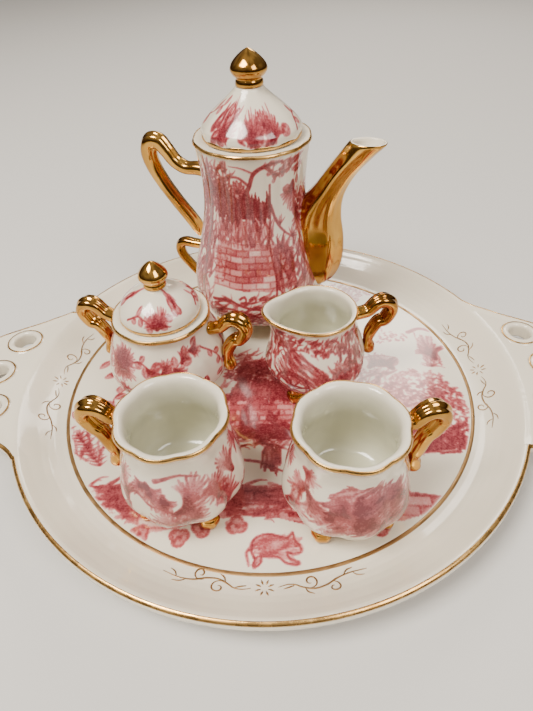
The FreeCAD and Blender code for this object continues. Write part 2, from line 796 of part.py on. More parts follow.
def build_sugar_lid(place, tall):
    edge = [("sugar_lid_edge", 1.0)]
    top = tall + [("sugar_lid_tall", 1.0)]
    skirt = [("sugar_mouth", 1.0), ("lid_play", -1.0)]
    low = tall + [("sugar_skirt", -1.0)]
    neck = [("sugar_finial_wide", 0.78)]
    dome = [
        (neck, top),
        (neck + [1.2], top + [-0.5]),
        (times(edge, 0.72), top + [-3.0]),
        (times(edge, 1.0), top + [-6.4]),
        (times(edge, 1.03), top + [-8.2]),
        (times(edge, 1.0), top + [-9.2]),
        (edge, tall),
    ]
    hollow = [
        (skirt + [-1.5], low),
        (skirt + [-1.5], tall + [1.0]),
        (times(skirt, 0.72), tall + [4.4]),
        (times(skirt, 0.35), tall + [7.2]),
        ([0.0], tall + [7.2]),
    ]
    runs = [
        (([0.0], top), (neck, top)),
        dome,
        ((edge, tall), (skirt, tall)),
        ((skirt, tall), (skirt, low)),
        ((skirt, low), (skirt + [-1.5], low)),
        hollow,
        (([0.0], tall + [7.2]), ([0.0], top)),
    ]
    lid = new_body("sugar_lid", *place)
    revolve(lid, "lid", runs)
    nodes.append(("sugar_lid", lid))
    build_finial("sugar_finial", place, top, "sugar_finial_wide", "sugar_finial_tall", 0.10)


# ---------------------------------------------------------------- creamer
def build_creamer():
    place = vessel_place("creamer")
    body = new_body("creamer_body", *place)
    belly = [("creamer_belly", 1.0)]
    rim = [("creamer_rim", 1.0)]
    tall = [("creamer_tall", 1.0)]
    stations = [
        ([("creamer_base", 1.0)], [("foot_tall", 1.0)], 0.2),
        (times(belly, 0.85), [("foot_tall", 1.0), 1.6], 0.7),
        (times(belly, 0.975), times(tall, 0.30), 1.0),
        (belly, times(tall, 0.41), 1.0),
        (times(belly, 0.915), times(tall, 0.59), 1.0),
        (times(rim, 1.02), times(tall, 0.79), 0.8),
        (rim, tall, 0.3),
    ]
    vessel(body, stations, 8, values["creamer_lobe"], [("small_wall", 1.0)],
           [("foot_tall", 1.0), 2.4], lip=[("creamer_lip", 1.0)])
    nodes.append(("creamer_body", body))
    scroll_handle("creamer_handle", place, body, times(rim, 1.0), times(tall, 0.87), belly,
                  times(tall, 0.45), [("creamer_handle_reach", 1.0)], tall + [2.7])
    build_feet("creamer", place, body, [("creamer_base", 1.0), 0.8], [("foot_tall", 1.0)])


# ---------------------------------------------------------------- cups
def build_cup(prefix):
    place = vessel_place(prefix)
    body = new_body(prefix + "_body", *place)
    belly = [("cup_belly", 1.0)]
    neck = [("cup_neck", 1.0)]
    rim = [("cup_rim", 1.0)]
    tall = [("cup_tall", 1.0)]
    stations = [
        ([("cup_base", 1.0)], [("foot_tall", 1.0)], 0.2),
        (times(belly, 0.86), [("foot_tall", 1.0), 1.5], 0.7),
        (times(belly, 0.975), times(tall, 0.265), 1.0),
        (belly, times(tall, 0.38), 1.0),
        (times(belly, 0.917), times(tall, 0.574), 1.0),
        (times(neck, 1.005), times(tall, 0.765), 1.0),
        (times(neck, 1.02), times(tall, 0.90), 1.0),
        (rim, tall, 1.0),
    ]
    vessel(body, stations, 8, values["cup_lobe"], [("small_wall", 1.0)],
           [("foot_tall", 1.0), 2.4])
    nodes.append((prefix + "_body", body))
    scroll_handle(prefix + "_handle", place, body, neck, times(tall, 0.90), belly,
                  times(tall, 0.42), [("cup_handle_reach", 1.0)], tall + [2.3])
    build_feet(prefix, place, body, [("cup_base", 1.0), 0.8], [("foot_tall", 1.0)])


# ---------------------------------------------------------------- the set
build_tray()
build_pot()
build_sugar()
build_creamer()
build_cup("cup_1")
build_cup("cup_2")
doc.recompute()

failed = [item.Name for item in doc.Objects if {"Invalid", "Error"} & set(item.State)]
if failed:
    raise RuntimeError("failed objects: " + ", ".join(failed))

os.makedirs("parts", exist_ok=True)
for name, item in nodes:
    shape = item.Shape
    if shape.isNull() or not shape.isValid():
        raise RuntimeError(f"{name} has no valid shape")
    if len(shape.Solids) != 1:
        raise RuntimeError(f"{name} is {len(shape.Solids)} solids")
    shape.exportStep(f"parts/{name}.step")
    print(f"{name}: {shape.Volume:.1f} mm3")
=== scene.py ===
import math
import random

import bpy
import numpy as np
from mathutils import Matrix, Vector


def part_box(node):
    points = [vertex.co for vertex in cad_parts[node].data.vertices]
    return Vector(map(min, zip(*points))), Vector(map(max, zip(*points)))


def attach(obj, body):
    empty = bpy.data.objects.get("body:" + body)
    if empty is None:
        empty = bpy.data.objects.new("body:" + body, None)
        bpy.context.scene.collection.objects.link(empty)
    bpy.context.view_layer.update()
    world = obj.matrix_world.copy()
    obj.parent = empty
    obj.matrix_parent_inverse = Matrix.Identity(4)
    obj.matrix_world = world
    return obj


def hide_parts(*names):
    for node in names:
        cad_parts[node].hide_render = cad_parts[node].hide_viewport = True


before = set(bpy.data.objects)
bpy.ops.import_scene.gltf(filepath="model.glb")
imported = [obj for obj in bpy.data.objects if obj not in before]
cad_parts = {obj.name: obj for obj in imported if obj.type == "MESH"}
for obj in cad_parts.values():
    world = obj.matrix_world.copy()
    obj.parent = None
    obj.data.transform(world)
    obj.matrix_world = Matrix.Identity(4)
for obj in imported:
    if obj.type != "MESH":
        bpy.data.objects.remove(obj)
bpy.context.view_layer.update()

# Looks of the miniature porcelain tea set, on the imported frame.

MM = 0.001


# ---------------------------------------------------------------- places, from the frame
def centre(node):
    low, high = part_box(node)
    return (low + high) / (2 * MM)


def top(node):
    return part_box(node)[1].z / MM


def axis_of(prefix):
    """A vessel's axis is the middle of its four feet; its floor is where they stand."""
    feet = [centre(f"{prefix}_foot_{number}") for number in range(1, 5)]
    return sum(foot.x for foot in feet) / 4, sum(foot.y for foot in feet) / 4


def bearing(node, axis):
    """The direction of a piece from a vessel's axis."""
    there = centre(node)
    return math.atan2(there.y - axis[1], there.x - axis[0])


def half_wide(node):
    """Half the size of a piece along X, which is its radius if it is round."""
    low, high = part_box(node)
    return 0.5 * (high.x - low.x) / MM


def circle(count):
    """Angles of evenly spaced points once round."""
    return 2 * math.pi * np.arange(count) / count


def level_ring(centre_xy, radius, level, count):
    """Points of a level circle."""
    turn = circle(count)
    return np.stack([centre_xy[0] + radius * np.cos(turn), centre_xy[1] + radius * np.sin(turn),
                     np.full(count, level)], axis=1)


def wrapped(angle):
    """The same angle between -pi and pi."""
    return np.angle(np.exp(1j * angle))


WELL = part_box("pot_foot_1")[0].z / MM
FRONT = -math.pi / 2
UP = (0, 0, 1)


# ---------------------------------------------------------------- materials
def add_node(tree, kind, **inputs):
    node = tree.nodes.new(kind)
    for name, value in inputs.items():
        node.inputs[name.replace("_", " ")].default_value = value
    return node


def new_material(name):
    material = bpy.data.materials.new(name)
    material.use_nodes = True
    tree = material.node_tree
    return material, tree, tree.nodes["Principled BSDF"]


def mixed(tree, share, first, second):
    """A colour between first and second; each is a colour or a socket."""
    mix = tree.nodes.new("ShaderNodeMix")
    mix.data_type = "RGBA"
    tree.links.new(share, mix.inputs["Factor"])
    for socket, colour in ((mix.inputs[6], first), (mix.inputs[7], second)):
        if isinstance(colour, tuple):
            socket.default_value = colour
        else:
            tree.links.new(colour, socket)
    return mix.outputs[2]


def noise(tree, scale, detail=2.0, stretch=None):
    texture = add_node(tree, "ShaderNodeTexNoise", Scale=scale, Detail=detail)
    place = tree.nodes.new("ShaderNodeTexCoord")
    if stretch:
        mapping = add_node(tree, "ShaderNodeMapping", Scale=stretch)
        tree.links.new(place.outputs["Object"], mapping.inputs["Vector"])
        tree.links.new(mapping.outputs["Vector"], texture.inputs["Vector"])
    else:
        tree.links.new(place.outputs["Object"], texture.inputs["Vector"])
    return texture.outputs["Fac"]


def ranged(tree, value, low, high, start=0.3, end=0.7):
    """A noise value spread over low to high."""
    span = add_node(tree, "ShaderNodeMapRange")
    for number, limit in enumerate((start, end, low, high), start=1):
        span.inputs[number].default_value = limit
    tree.links.new(value, span.inputs["Value"])
    return span.outputs["Result"]


def bumped(tree, shader, height, strength, distance):
    bump = add_node(tree, "ShaderNodeBump", Strength=strength, Distance=distance)
    tree.links.new(height, bump.inputs["Height"])
    tree.links.new(bump.outputs["Normal"], shader.inputs["Normal"])


def make_glaze():
    """Ivory porcelain; the 'ink' of the print and the 'shade' are on the mesh; 'shade' is a painted shade
    that darkens the insides towards grey-green.
    """
    material, tree, shader = new_material("glazed_porcelain")
    ivory = mixed(tree, noise(tree, 55.0), (0.80, 0.735, 0.605, 1), (0.745, 0.685, 0.565, 1))
    # Painted shade: the 'shade' attribute mixes the ivory towards a darker grey-green inside the vessels.
    shade = tree.nodes.new("ShaderNodeAttribute")
    shade.attribute_name = "shade"
    ivory_and_painted_shade = mixed(tree, shade.outputs["Fac"], ivory, (0.62, 0.605, 0.46, 1))
    ink = tree.nodes.new("ShaderNodeAttribute")
    ink.attribute_name = "ink"
    stipple = tree.nodes.new("ShaderNodeMath")
    stipple.operation = "MULTIPLY"
    tree.links.new(ink.outputs["Fac"], stipple.inputs[0])
    tree.links.new(ranged(tree, noise(tree, 1900.0), 0.72, 1.18), stipple.inputs[1])
    ramp = tree.nodes.new("ShaderNodeValToRGB")
    stops = ((0.0, (0.74, 0.58, 0.51, 1)), (0.20, (0.60, 0.25, 0.24, 1)),
             (0.50, (0.37, 0.070, 0.078, 1)), (1.0, (0.15, 0.010, 0.018, 1)))
    for number, (place, colour) in enumerate(stops):
        stop = ramp.color_ramp.elements[number] if number < 2 else ramp.color_ramp.elements.new(place)
        stop.position = place
        stop.color = colour
    tree.links.new(stipple.outputs[0], ramp.inputs["Fac"])
    cover = ranged(tree, stipple.outputs[0], 0.0, 1.0, 0.0, 0.14)
    print_colour = mixed(tree, cover, ivory_and_painted_shade, ramp.outputs["Color"])
    tree.links.new(print_colour, shader.inputs["Base Color"])
    tree.links.new(ranged(tree, noise(tree, 240.0, 4.0), 0.10, 0.20), shader.inputs["Roughness"])
    shader.inputs["Coat Weight"].default_value = 0.5
    shader.inputs["Coat Roughness"].default_value = 0.04
    shader.inputs["IOR"].default_value = 1.5
    bumped(tree, shader, noise(tree, 130.0, 3.0), 0.10, 0.0006)
    return material


def make_gold(name, bright, deep, rough, streak):
    """Gold lustre brushed on over the glaze: nearly a mirror, thinner in its streaks."""
    material, tree, shader = new_material(name)
    streaks = noise(tree, 90.0, 4.0, stretch=(1.0, 1.0, streak))
    tree.links.new(mixed(tree, ranged(tree, streaks, 0.0, 1.0), bright, deep),
                   shader.inputs["Base Color"])
    shader.inputs["Metallic"].default_value = 1.0
    tree.links.new(ranged(tree, noise(tree, 300.0, 4.0), rough * 0.7, rough * 1.6),
                   shader.inputs["Roughness"])
    bumped(tree, shader, streaks, 0.22, 0.0008)
    return material


# Bright gold on the moulded pieces, thinner gold for the rim lines, dull gold under the glaze.
GLAZE = make_glaze()
GOLD = make_gold("gold_lustre", (0.80, 0.46, 0.11, 1), (0.28, 0.115, 0.022, 1), 0.10, 0.35)
LINE = make_gold("gold_line", (0.80, 0.50, 0.18, 1), (0.52, 0.29, 0.09, 1), 0.24, 1.0)
DULL = make_gold("gold_band", (0.44, 0.27, 0.12, 1), (0.30, 0.17, 0.07, 1), 0.38, 1.0)


# ---------------------------------------------------------------- meshes
def smooth(points, step):
    """Points every step or so along a smooth curve through the given points."""
    points = np.asarray(points, float)
    padded = np.vstack([2 * points[0] - points[1], points, 2 * points[-1] - points[-2]])
    fine = []
    for before, start, end, after in zip(padded, padded[1:], padded[2:], padded[3:]):
        length = np.linalg.norm((end - start)[:2])
        count = max(2, int(math.ceil(length / step)))
        for part in np.arange(count) / count:
            fine.append(0.5 * (2 * start + (end - before) * part
                               + (2 * before - 5 * start + 4 * end - after) * part ** 2
                               + (3 * start - before - 3 * end + after) * part ** 3))
    fine.append(points[-1])
    return np.array(fine)


def facing_out(points, faces):
    """The faces of a closed surface, all turned over if they enclose it inside out."""
    volume = 0.0
    for part in faces:
        for corner in range(1, part.shape[1] - 1):
            ends = np.cross(points[part[:, corner]], points[part[:, corner + 1]])
            volume += np.einsum("ij,ij->i", points[part[:, 0]], ends).sum()
    return faces if volume > 0 else [part[:, ::-1] for part in faces]


def build(name, points, faces, body, slot, materials, replaces=(), **values):
    """A mesh piece in millimetres from vertices, a list of index arrays and vertex values."""
    mesh = bpy.data.meshes.new(name)
    points = np.asarray(points, float)
    faces = facing_out(points, faces)
    mesh.vertices.add(len(points))
    mesh.vertices.foreach_set("co", (points * MM).ravel())
    corners = np.concatenate([part.ravel() for part in faces])
    totals = np.concatenate([np.full(len(part), part.shape[1]) for part in faces])
    mesh.loops.add(len(corners))
    mesh.loops.foreach_set("vertex_index", corners.astype(np.int32))
    mesh.polygons.add(len(totals))
    starts = np.concatenate([[0], np.cumsum(totals)[:-1]])
    mesh.polygons.foreach_set("loop_start", starts.astype(np.int32))
    mesh.polygons.foreach_set("loop_total", totals.astype(np.int32))
    mesh.polygons.foreach_set("use_smooth", np.ones(len(totals), bool))
    for material in materials:
        mesh.materials.append(material)
    mesh.update(calc_edges=True)
    mesh.validate()
    for key, value in values.items():
        mesh.attributes.new(key, "FLOAT", "POINT").data.foreach_set(
            "value", np.asarray(value, np.float32).ravel())
    piece = bpy.data.objects.new(name, mesh)
    bpy.context.scene.collection.objects.link(piece)
    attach(piece, body)
    if replaces:
        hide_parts(*replaces)
    return piece


def gild(name, shape, body, material, replaces=()):
    """A gold piece from the vertices and faces of its shape."""
    build(name, *shape, body, "gold_lustre", [material], replaces)


def skin(rows, columns, offset=0):
    """Quads over a grid of vertices, closed round each row."""
    across = np.arange(columns)
    index = offset + np.arange(rows * columns).reshape(rows, columns)
    following = (across + 1) % columns
    low, high = index[:-1], index[1:]
    return np.stack([low[:, across], low[:, following], high[:, following], high[:, across]],
                    axis=-1).reshape(-1, 4)


def fan(ring, hub, outward):
    """Triangles from a closed ring of vertices to one vertex at its middle."""
    turned = np.roll(ring, -1)
    middle = np.full(len(ring), hub)
    return np.stack([ring, turned, middle] if outward else [turned, ring, middle], axis=-1)


def closed_grid(grid):
    """Vertices and faces of a grid of rings whose two ends are closed with a fan each."""
    rows, columns = grid.shape[:2]
    points = np.vstack([grid.reshape(-1, 3), grid[0].mean(0), grid[-1].mean(0)])
    count = rows * columns
    faces = [skin(rows, columns), fan(np.arange(columns), count, False),
             fan(np.arange(count - columns, count), count + 1, True)]
    return points, faces


def with_ends(rows, first, last):
    """Vertex values over the grid, with a value for each of its two hubs."""
    return np.concatenate([np.asarray(rows, float).ravel(), [first, last]])


def ribbon(path, normal, wide, high, closed=True, taper=False, sides=8):
    """A low bead of oval section along a path, as a grid of rings (vertices and faces)."""
    path = np.asarray(path, float)
    if closed:
        along = np.roll(path, -1, 0) - np.roll(path, 1, 0)
    else:
        along = np.gradient(path, axis=0)
    along /= np.linalg.norm(along, axis=1)[:, None]
    normal = np.broadcast_to(np.asarray(normal, float), path.shape)
    across = np.cross(along, normal)
    across /= np.linalg.norm(across, axis=1)[:, None]
    rise = np.cross(across, along)
    share = np.ones(len(path))
    if taper:
        share = np.sin(np.linspace(0.12, math.pi - 0.12, len(path))) ** 0.6
    turn = circle(sides)
    grid = (path[:, None] + (wide * share)[:, None, None] * np.cos(turn)[None, :, None] * across[:, None]
            + (high * share)[:, None, None] * np.sin(turn)[None, :, None] * rise[:, None])
    if not closed:
        return closed_grid(grid)
    points = grid.reshape(-1, 3)
    faces = skin(len(path) + 1, sides) % len(points)
    return points, [faces]


def gather(parts):
    """Several shapes, each vertices and faces, as one."""
    points, faces, count = [], [], 0
    for some, lists in parts:
        points.append(some)
        faces += [part + count for part in lists]
        count += len(some)
    return np.vstack(points), faces


# ---------------------------------------------------------------- the print
GRAIN = 64      # cells each way of the tile of random values that the brushwork reads
CELL = 0.25     # millimetres between the cells of a vessel's print


class Canvas:
    """Ink on a sheet in millimetres, u to the right and v up; it may join up round a vessel."""

    def __init__(self, left, low, wide, tall, cell, joined, seed):
        self.left, self.low, self.cell, self.joined = left, low, cell, joined
        self.columns = int(round(wide / cell))
        self.rows = int(round(tall / cell))
        self.ink = np.zeros((self.rows, self.columns))
        self.random = random.Random(seed)
        self.grain = np.random.default_rng(seed).random((GRAIN, GRAIN))

    def lay(self, box, tone_at):
        """Adds ink inside a box (u0, v0, u1, v1); tone_at gives its strength at u, v."""
        first = int(math.floor((box[0] - self.left) / self.cell))
        last = int(math.ceil((box[2] - self.left) / self.cell)) + 1
        low = max(0, int(math.floor((box[1] - self.low) / self.cell)))
        high = min(self.rows, int(math.ceil((box[3] - self.low) / self.cell)) + 1)
        if not self.joined:
            first, last = max(0, first), min(self.columns, last)
        if first >= last or low >= high:
            return
        columns = np.arange(first, last)
        u = self.left + (columns + 0.5) * self.cell
        v = self.low + (np.arange(low, high) + 0.5) * self.cell
        tone = np.clip(tone_at(u[None, :], v[:, None]), 0.0, 1.0)
        window = np.ix_(np.arange(low, high), columns % self.columns)
        self.ink[window] = 1 - (1 - self.ink[window]) * (1 - tone)

    def cloud(self, u, v, size):
        """Smooth noise from 0 to 1."""
        x, y = np.broadcast_arrays(u / size, v / size)
        left, low = np.floor(x).astype(int), np.floor(y).astype(int)
        right, up = x - left, y - low
        right, up = right * right * (3 - 2 * right), up * up * (3 - 2 * up)
        column, row = left % GRAIN, low % GRAIN
        next_column, next_row = (left + 1) % GRAIN, (low + 1) % GRAIN
        lower = self.grain[row, column] * (1 - right) + self.grain[row, next_column] * right
        upper = self.grain[next_row, column] * (1 - right) + self.grain[next_row, next_column] * right
        return lower * (1 - up) + upper * up

    def stroke(self, points, width, tone, taper=0.25):
        """A brush line that thins to a share of its width at the far end."""
        points = smooth(np.asarray(points, float), 1.2)
        count = len(points) - 1
        edge = width + self.cell
        box = (points[:, 0].min() - edge, points[:, 1].min() - edge,
               points[:, 0].max() + edge, points[:, 1].max() + edge)

        def tone_at(u, v):
            best = np.zeros(np.broadcast(u, v).shape)
            for number in range(count):
                (u0, v0), (u1, v1) = points[number], points[number + 1]
                du, dv = u1 - u0, v1 - v0
                part = np.clip(((u - u0) * du + (v - v0) * dv) / (du * du + dv * dv + 1e-9), 0, 1)
                gap = np.hypot(u - u0 - part * du, v - v0 - part * dv)
                half = width / 2 * (1 - (1 - taper) * (number + part) / count)
                best = np.maximum(best, np.clip((half - gap) / self.cell + 0.6, 0, 1))
            return best * tone

        self.lay(box, tone_at)

    def leaf(self, u0, v0, angle, length, tone, width=0.34):
        """A leaf from its stalk, darker on one side of a pale vein."""
        reach = length + self.cell
        along, up = math.cos(angle), math.sin(angle)

        def tone_at(u, v):
            part = ((u - u0) * along + (v - v0) * up) / length
            side = (-(u - u0) * up + (v - v0) * along) / length
            half = width * np.sin(np.pi * np.clip(part, 0, 1)) ** 0.8
            inside = np.clip((half - np.abs(side)) * length / self.cell + 0.4, 0, 1)
            shade = 0.5 + 0.5 * np.clip(side / (width + 1e-6), -1, 1) + 0.35 * part
            vein = 1 - 0.6 * np.exp(-(side * length / 0.28) ** 2)
            rib = 0.86 + 0.14 * np.cos((part * length + np.abs(side) * length) * 5.5)
            return inside * (part > 0) * (part < 1) * tone * (0.45 + 0.55 * shade) * vein * rib

        self.lay((u0 - reach, v0 - reach, u0 + reach, v0 + reach), tone_at)

    def spray(self, points, leaf, tone, gap=2.4):
        """A stem with leaves on alternate sides and one at its tip."""
        points = smooth(np.asarray(points, float), 0.6)
        self.stroke(points[::3], 0.42, tone)
        run, side = 0.0, 1
        for before, here in zip(points, points[1:]):
            run += float(np.hypot(*(here - before)))
            if run > gap:
                run = 0.0
                side = -side
                heading = math.atan2(here[1] - before[1], here[0] - before[0])
                spread = self.random.uniform(0.6, 1.0) * side
                size = leaf * self.random.uniform(0.75, 1.15)
                self.leaf(here[0], here[1], heading + spread, size, tone * self.random.uniform(0.7, 1))
        heading = math.atan2(*(points[-1] - points[-3])[::-1])
        self.leaf(points[-1][0], points[-1][1], heading, leaf, tone)

    def blossom(self, u0, v0, radius, petals, tone, turn=0.0):
        """A round flower: petals shaded towards their edges, lines towards a dark eye."""
        def tone_at(u, v):
            gap = np.hypot(u - u0, v - v0)
            angle = np.arctan2(v - v0, u - u0) + turn
            edge = radius * (0.70 + 0.30 * np.abs(np.cos(petals * angle / 2)) ** 0.7)
            inside = np.clip((edge - gap) / self.cell + 0.5, 0, 1)
            rim = np.clip(gap / edge, 0, 1) ** 2.2
            lines = 0.5 + 0.5 * np.cos(petals * 5 * angle)
            eye = np.exp(-(gap / (0.20 * radius)) ** 2)
            return inside * tone * np.clip(0.16 + 0.66 * rim + 0.22 * lines * (gap / radius) + eye, 0, 1)

        self.lay((u0 - radius, v0 - radius, u0 + radius, v0 + radius), tone_at)

    def bush(self, u0, v0, wide, tall, tone, dab=1.0, thick=1.0):
        """Foliage: curled dabs over an oval, closer and darker low down."""
        count = int(wide * tall * 1.5 * thick / dab ** 2)
        for _ in range(count):
            reach, angle = math.sqrt(self.random.random()), self.random.uniform(0, 2 * math.pi)
            u = u0 + wide * reach * math.cos(angle)
            v = v0 + tall * reach * math.sin(angle)
            dark = tone * (0.55 - 0.30 * (v - v0) / tall + self.random.uniform(-0.18, 0.18))
            heading = self.random.uniform(0.2, 2.9)
            size = dab * self.random.uniform(0.6, 1.25)
            bend = heading + self.random.choice((-1.3, 1.3))
            self.stroke([(u, v), (u + size * math.cos(heading), v + size * math.sin(heading)),
                         (u + size * math.cos(heading) + 0.6 * size * math.cos(bend),
                          v + size * math.sin(heading) + 0.6 * size * math.sin(bend))],
                        0.55 * dab, dark, 0.5)

    def bricks(self, corners, course, tone, skew=0.0):
        """Courses of bricks inside a polygon; each brick has a tone of its own."""
        corners = np.asarray(corners, float)
        box = (*corners.min(0), *corners.max(0))

        def tone_at(u, v):
            level = (v - skew * u) / course
            row = np.floor(level)
            place = u / (course * 2.3) + 0.5 * (row % 2)
            column = np.floor(place)
            each = self.grain[(row.astype(int) * 7) % GRAIN, (column.astype(int) * 13) % GRAIN]
            edge_v = np.minimum(level - row, 1 - level + row) * course
            edge_u = np.minimum(place - column, 1 - place + column) * course * 2.3
            line = np.exp(-(np.minimum(edge_u, edge_v) / 0.20) ** 2)
            wash = self.cloud(u, v, 5.0)
            return self.within(corners, u, v) * tone * np.clip(
                0.10 + 0.46 * each * (0.4 + wash) + 0.62 * line * (0.5 + 0.5 * wash), 0, 1)

        self.lay(box, tone_at)

    def wash(self, corners, tone, heading=math.pi / 2, streak=0.5, pale=0.35, feather=2.0):
        """A brushed area: streaks run along heading, over a soft wash."""
        corners = np.asarray(corners, float)
        box = (*(corners.min(0) - feather), *(corners.max(0) + feather))
        along, up = math.cos(heading), math.sin(heading)

        def tone_at(u, v):
            run, side = u * along + v * up, -u * up + v * along
            fine = self.cloud(run / 7.0, side, streak)
            broad = self.cloud(u, v, 3.5)
            ragged = feather * (2.2 * self.cloud(run / 5.0, side, 0.7) - 1.1)
            shift_u, shift_v = ragged * along, ragged * up
            inside = self.within(corners, u + shift_u, v + shift_v)
            return inside * tone * np.clip(pale + 1.1 * (fine - 0.35) + 0.5 * (broad - 0.4), 0, 1)

        self.lay(box, tone_at)

    def within(self, corners, u, v):
        """1 inside a polygon, 0 outside, by counting crossings."""
        inside = np.zeros(np.broadcast(u, v).shape, bool)
        for (u0, v0), (u1, v1) in zip(corners, np.roll(corners, -1, 0)):
            if v0 != v1:
                crosses = ((v0 > v) != (v1 > v)) & (u < u0 + (v - v0) * (u1 - u0) / (v1 - v0))
                inside ^= crosses
        return inside

    def tuft(self, u0, v0, reach, count, tone, heading=math.pi / 2, spread=0.9):
        """Grass, or the ends of brush strokes, fanning out from one spot."""
        for number in range(count):
            angle = heading + spread * (number / max(1, count - 1) - 0.5) * 2
            size = reach * self.random.uniform(0.7, 1.15)
            lean = angle + self.random.uniform(-0.25, 0.25)
            self.stroke([(u0, v0), (u0 + 0.55 * size * math.cos(angle), v0 + 0.55 * size * math.sin(angle)),
                         (u0 + size * math.cos(lean), v0 + size * math.sin(lean))], 0.6, tone, 0.1)

    def wheel(self, u0, v0, radius, spokes, tone):
        turn = np.linspace(0, 2 * math.pi, 19)
        for share, width in ((1.0, 0.75), (0.84, 0.35), (0.18, 0.9)):
            self.stroke(np.stack([u0 + share * radius * np.cos(turn),
                                  v0 + share * radius * np.sin(turn)], 1), width, tone, 1.0)
        for number in range(spokes):
            angle = 2 * math.pi * (number + 0.3) / spokes
            self.stroke([(u0 + 0.2 * radius * math.cos(angle), v0 + 0.2 * radius * math.sin(angle)),
                         (u0 + 0.86 * radius * math.cos(angle), v0 + 0.86 * radius * math.sin(angle))],
                        0.5, tone * 0.9, 0.7)

    def mottle(self, size, weak, strong):
        """Lets the brush run dry in patches of one size."""
        u, v = np.arange(self.columns) * self.cell, np.arange(self.rows) * self.cell
        self.ink *= weak + (strong - weak) * self.cloud(u[None, :], v[:, None], size)

    def at(self, u, v):
        """The ink at some places, blended between cells."""
        x = (np.asarray(u) - self.left) / self.cell - 0.5
        y = np.clip((np.asarray(v) - self.low) / self.cell - 0.5, 0, self.rows - 1.001)
        left, low = np.floor(x).astype(int), np.floor(y).astype(int)
        right, up = x - left, y - low
        if self.joined:
            first, second = left % self.columns, (left + 1) % self.columns
        else:
            first = np.clip(left, 0, self.columns - 1)
            second = np.clip(left + 1, 0, self.columns - 1)
        lower = self.ink[low, first] * (1 - right) + self.ink[low, second] * right
        upper = self.ink[low + 1, first] * (1 - right) + self.ink[low + 1, second] * right
        return lower * (1 - up) + upper * up


def cottage(canvas, u0, v0, size, tone):
    """A brick cottage under a dark thatched roof, with a chimney, a door and a window."""
    wide, tall = size, 0.62 * size
    canvas.bricks([(u0, v0), (u0 + wide, v0), (u0 + wide, v0 + tall), (u0, v0 + tall)],
                  size / 9, tone)
    canvas.wash([(u0 - 0.12 * size, v0 + 0.9 * tall), (u0 + 1.12 * wide, v0 + 0.9 * tall),
                 (u0 + 0.86 * wide, v0 + 1.75 * tall), (u0 + 0.14 * wide, v0 + 1.75 * tall)],
                tone, 1.35, 0.35, 0.75)
    canvas.bricks([(u0 + 0.66 * wide, v0 + 1.6 * tall), (u0 + 0.80 * wide, v0 + 1.6 * tall),
                   (u0 + 0.80 * wide, v0 + 2.1 * tall), (u0 + 0.66 * wide, v0 + 2.1 * tall)],
                  size / 12, tone)
    for left, right, high in ((0.18, 0.34, 0.72), (0.58, 0.80, 0.55)):
        low = 0.0 if left < 0.5 else 0.25
        canvas.wash([(u0 + left * wide, v0 + low * tall), (u0 + right * wide, v0 + low * tall),
                     (u0 + right * wide, v0 + high * tall), (u0 + left * wide, v0 + high * tall)],
                    tone, 1.57, 0.4, 0.9)


def plume(canvas, u0, v0, heading, length, tone):
    """A big brushed leaf: many soft strokes that fan from a dark root and curl over at the tips."""
    for number in range(13):
        lean = (number / 12 - 0.5) * 1.5
        size = length * (1 - 0.45 * abs(lean)) * canvas.random.uniform(0.8, 1.1)
        angle = heading + lean * 0.75
        bend = angle + 0.9 * lean
        middle = (u0 + 0.55 * size * math.cos(angle), v0 + 0.55 * size * math.sin(angle))
        canvas.stroke([(u0, v0), middle, (middle[0] + 0.5 * size * math.cos(bend),
                                          middle[1] + 0.5 * size * math.sin(bend))],
                      0.17 * length, tone * canvas.random.uniform(0.25, 0.8), 0.35)


def scrub(canvas, box, count, length, tone, heading=1.2):
    """Loose shaded strokes scattered over a box, all leaning much the same way."""
    for _ in range(count):
        u = canvas.random.uniform(box[0], box[2])
        v = canvas.random.uniform(box[1], box[3])
        angle = heading + canvas.random.uniform(-0.7, 0.7)
        size = length * canvas.random.uniform(0.5, 1.2)
        bend = angle + canvas.random.uniform(-0.9, 0.9)
        canvas.stroke([(u, v), (u + size * math.cos(angle), v + size * math.sin(angle)),
                       (u + size * (math.cos(angle) + 0.7 * math.cos(bend)),
                        v + size * (math.sin(angle) + 0.7 * math.sin(bend)))],
                      canvas.random.uniform(0.5, 1.5), tone * canvas.random.uniform(0.3, 1.0), 0.15)


def pig(canvas, u0, v0, size, tone):
    """A pig in profile, looking to the right."""
    back = [(-0.50, 0.02), (-0.46, 0.26), (-0.22, 0.38), (0.06, 0.34), (0.24, 0.30), (0.34, 0.42),
            (0.37, 0.26), (0.47, 0.14), (0.52, 0.02), (0.46, -0.03), (0.34, -0.06), (0.22, -0.02),
            (0.28, -0.16), (0.46, -0.22), (0.42, -0.28), (0.20, -0.24), (0.05, -0.12),
            (-0.15, -0.12), (-0.30, -0.10), (-0.30, -0.22), (-0.42, -0.34), (-0.46, -0.28),
            (-0.42, -0.16), (-0.48, -0.06)]
    outline = [(u0 + size * u, v0 + size * v) for u, v in back]
    canvas.wash(outline, tone * 0.75, 0.2, 0.5, 0.30)
    canvas.wash([(u0 + size * u, v0 + size * v) for u, v in back[:9]], tone * 0.5, 0.6, 0.4, 0.3)
    canvas.stroke(outline + outline[:1], 0.42, tone, 1.0)
    canvas.stroke([(u0 - 0.5 * size, v0 + 0.05 * size), (u0 - 0.60 * size, v0 - 0.02 * size),
                   (u0 - 0.54 * size, v0 - 0.30 * size)], 0.5, tone, 0.5)
    canvas.stroke([(u0 + 0.39 * size, v0 + 0.12 * size), (u0 + 0.41 * size, v0 + 0.12 * size)],
                  0.5, 1.0, 1.0)


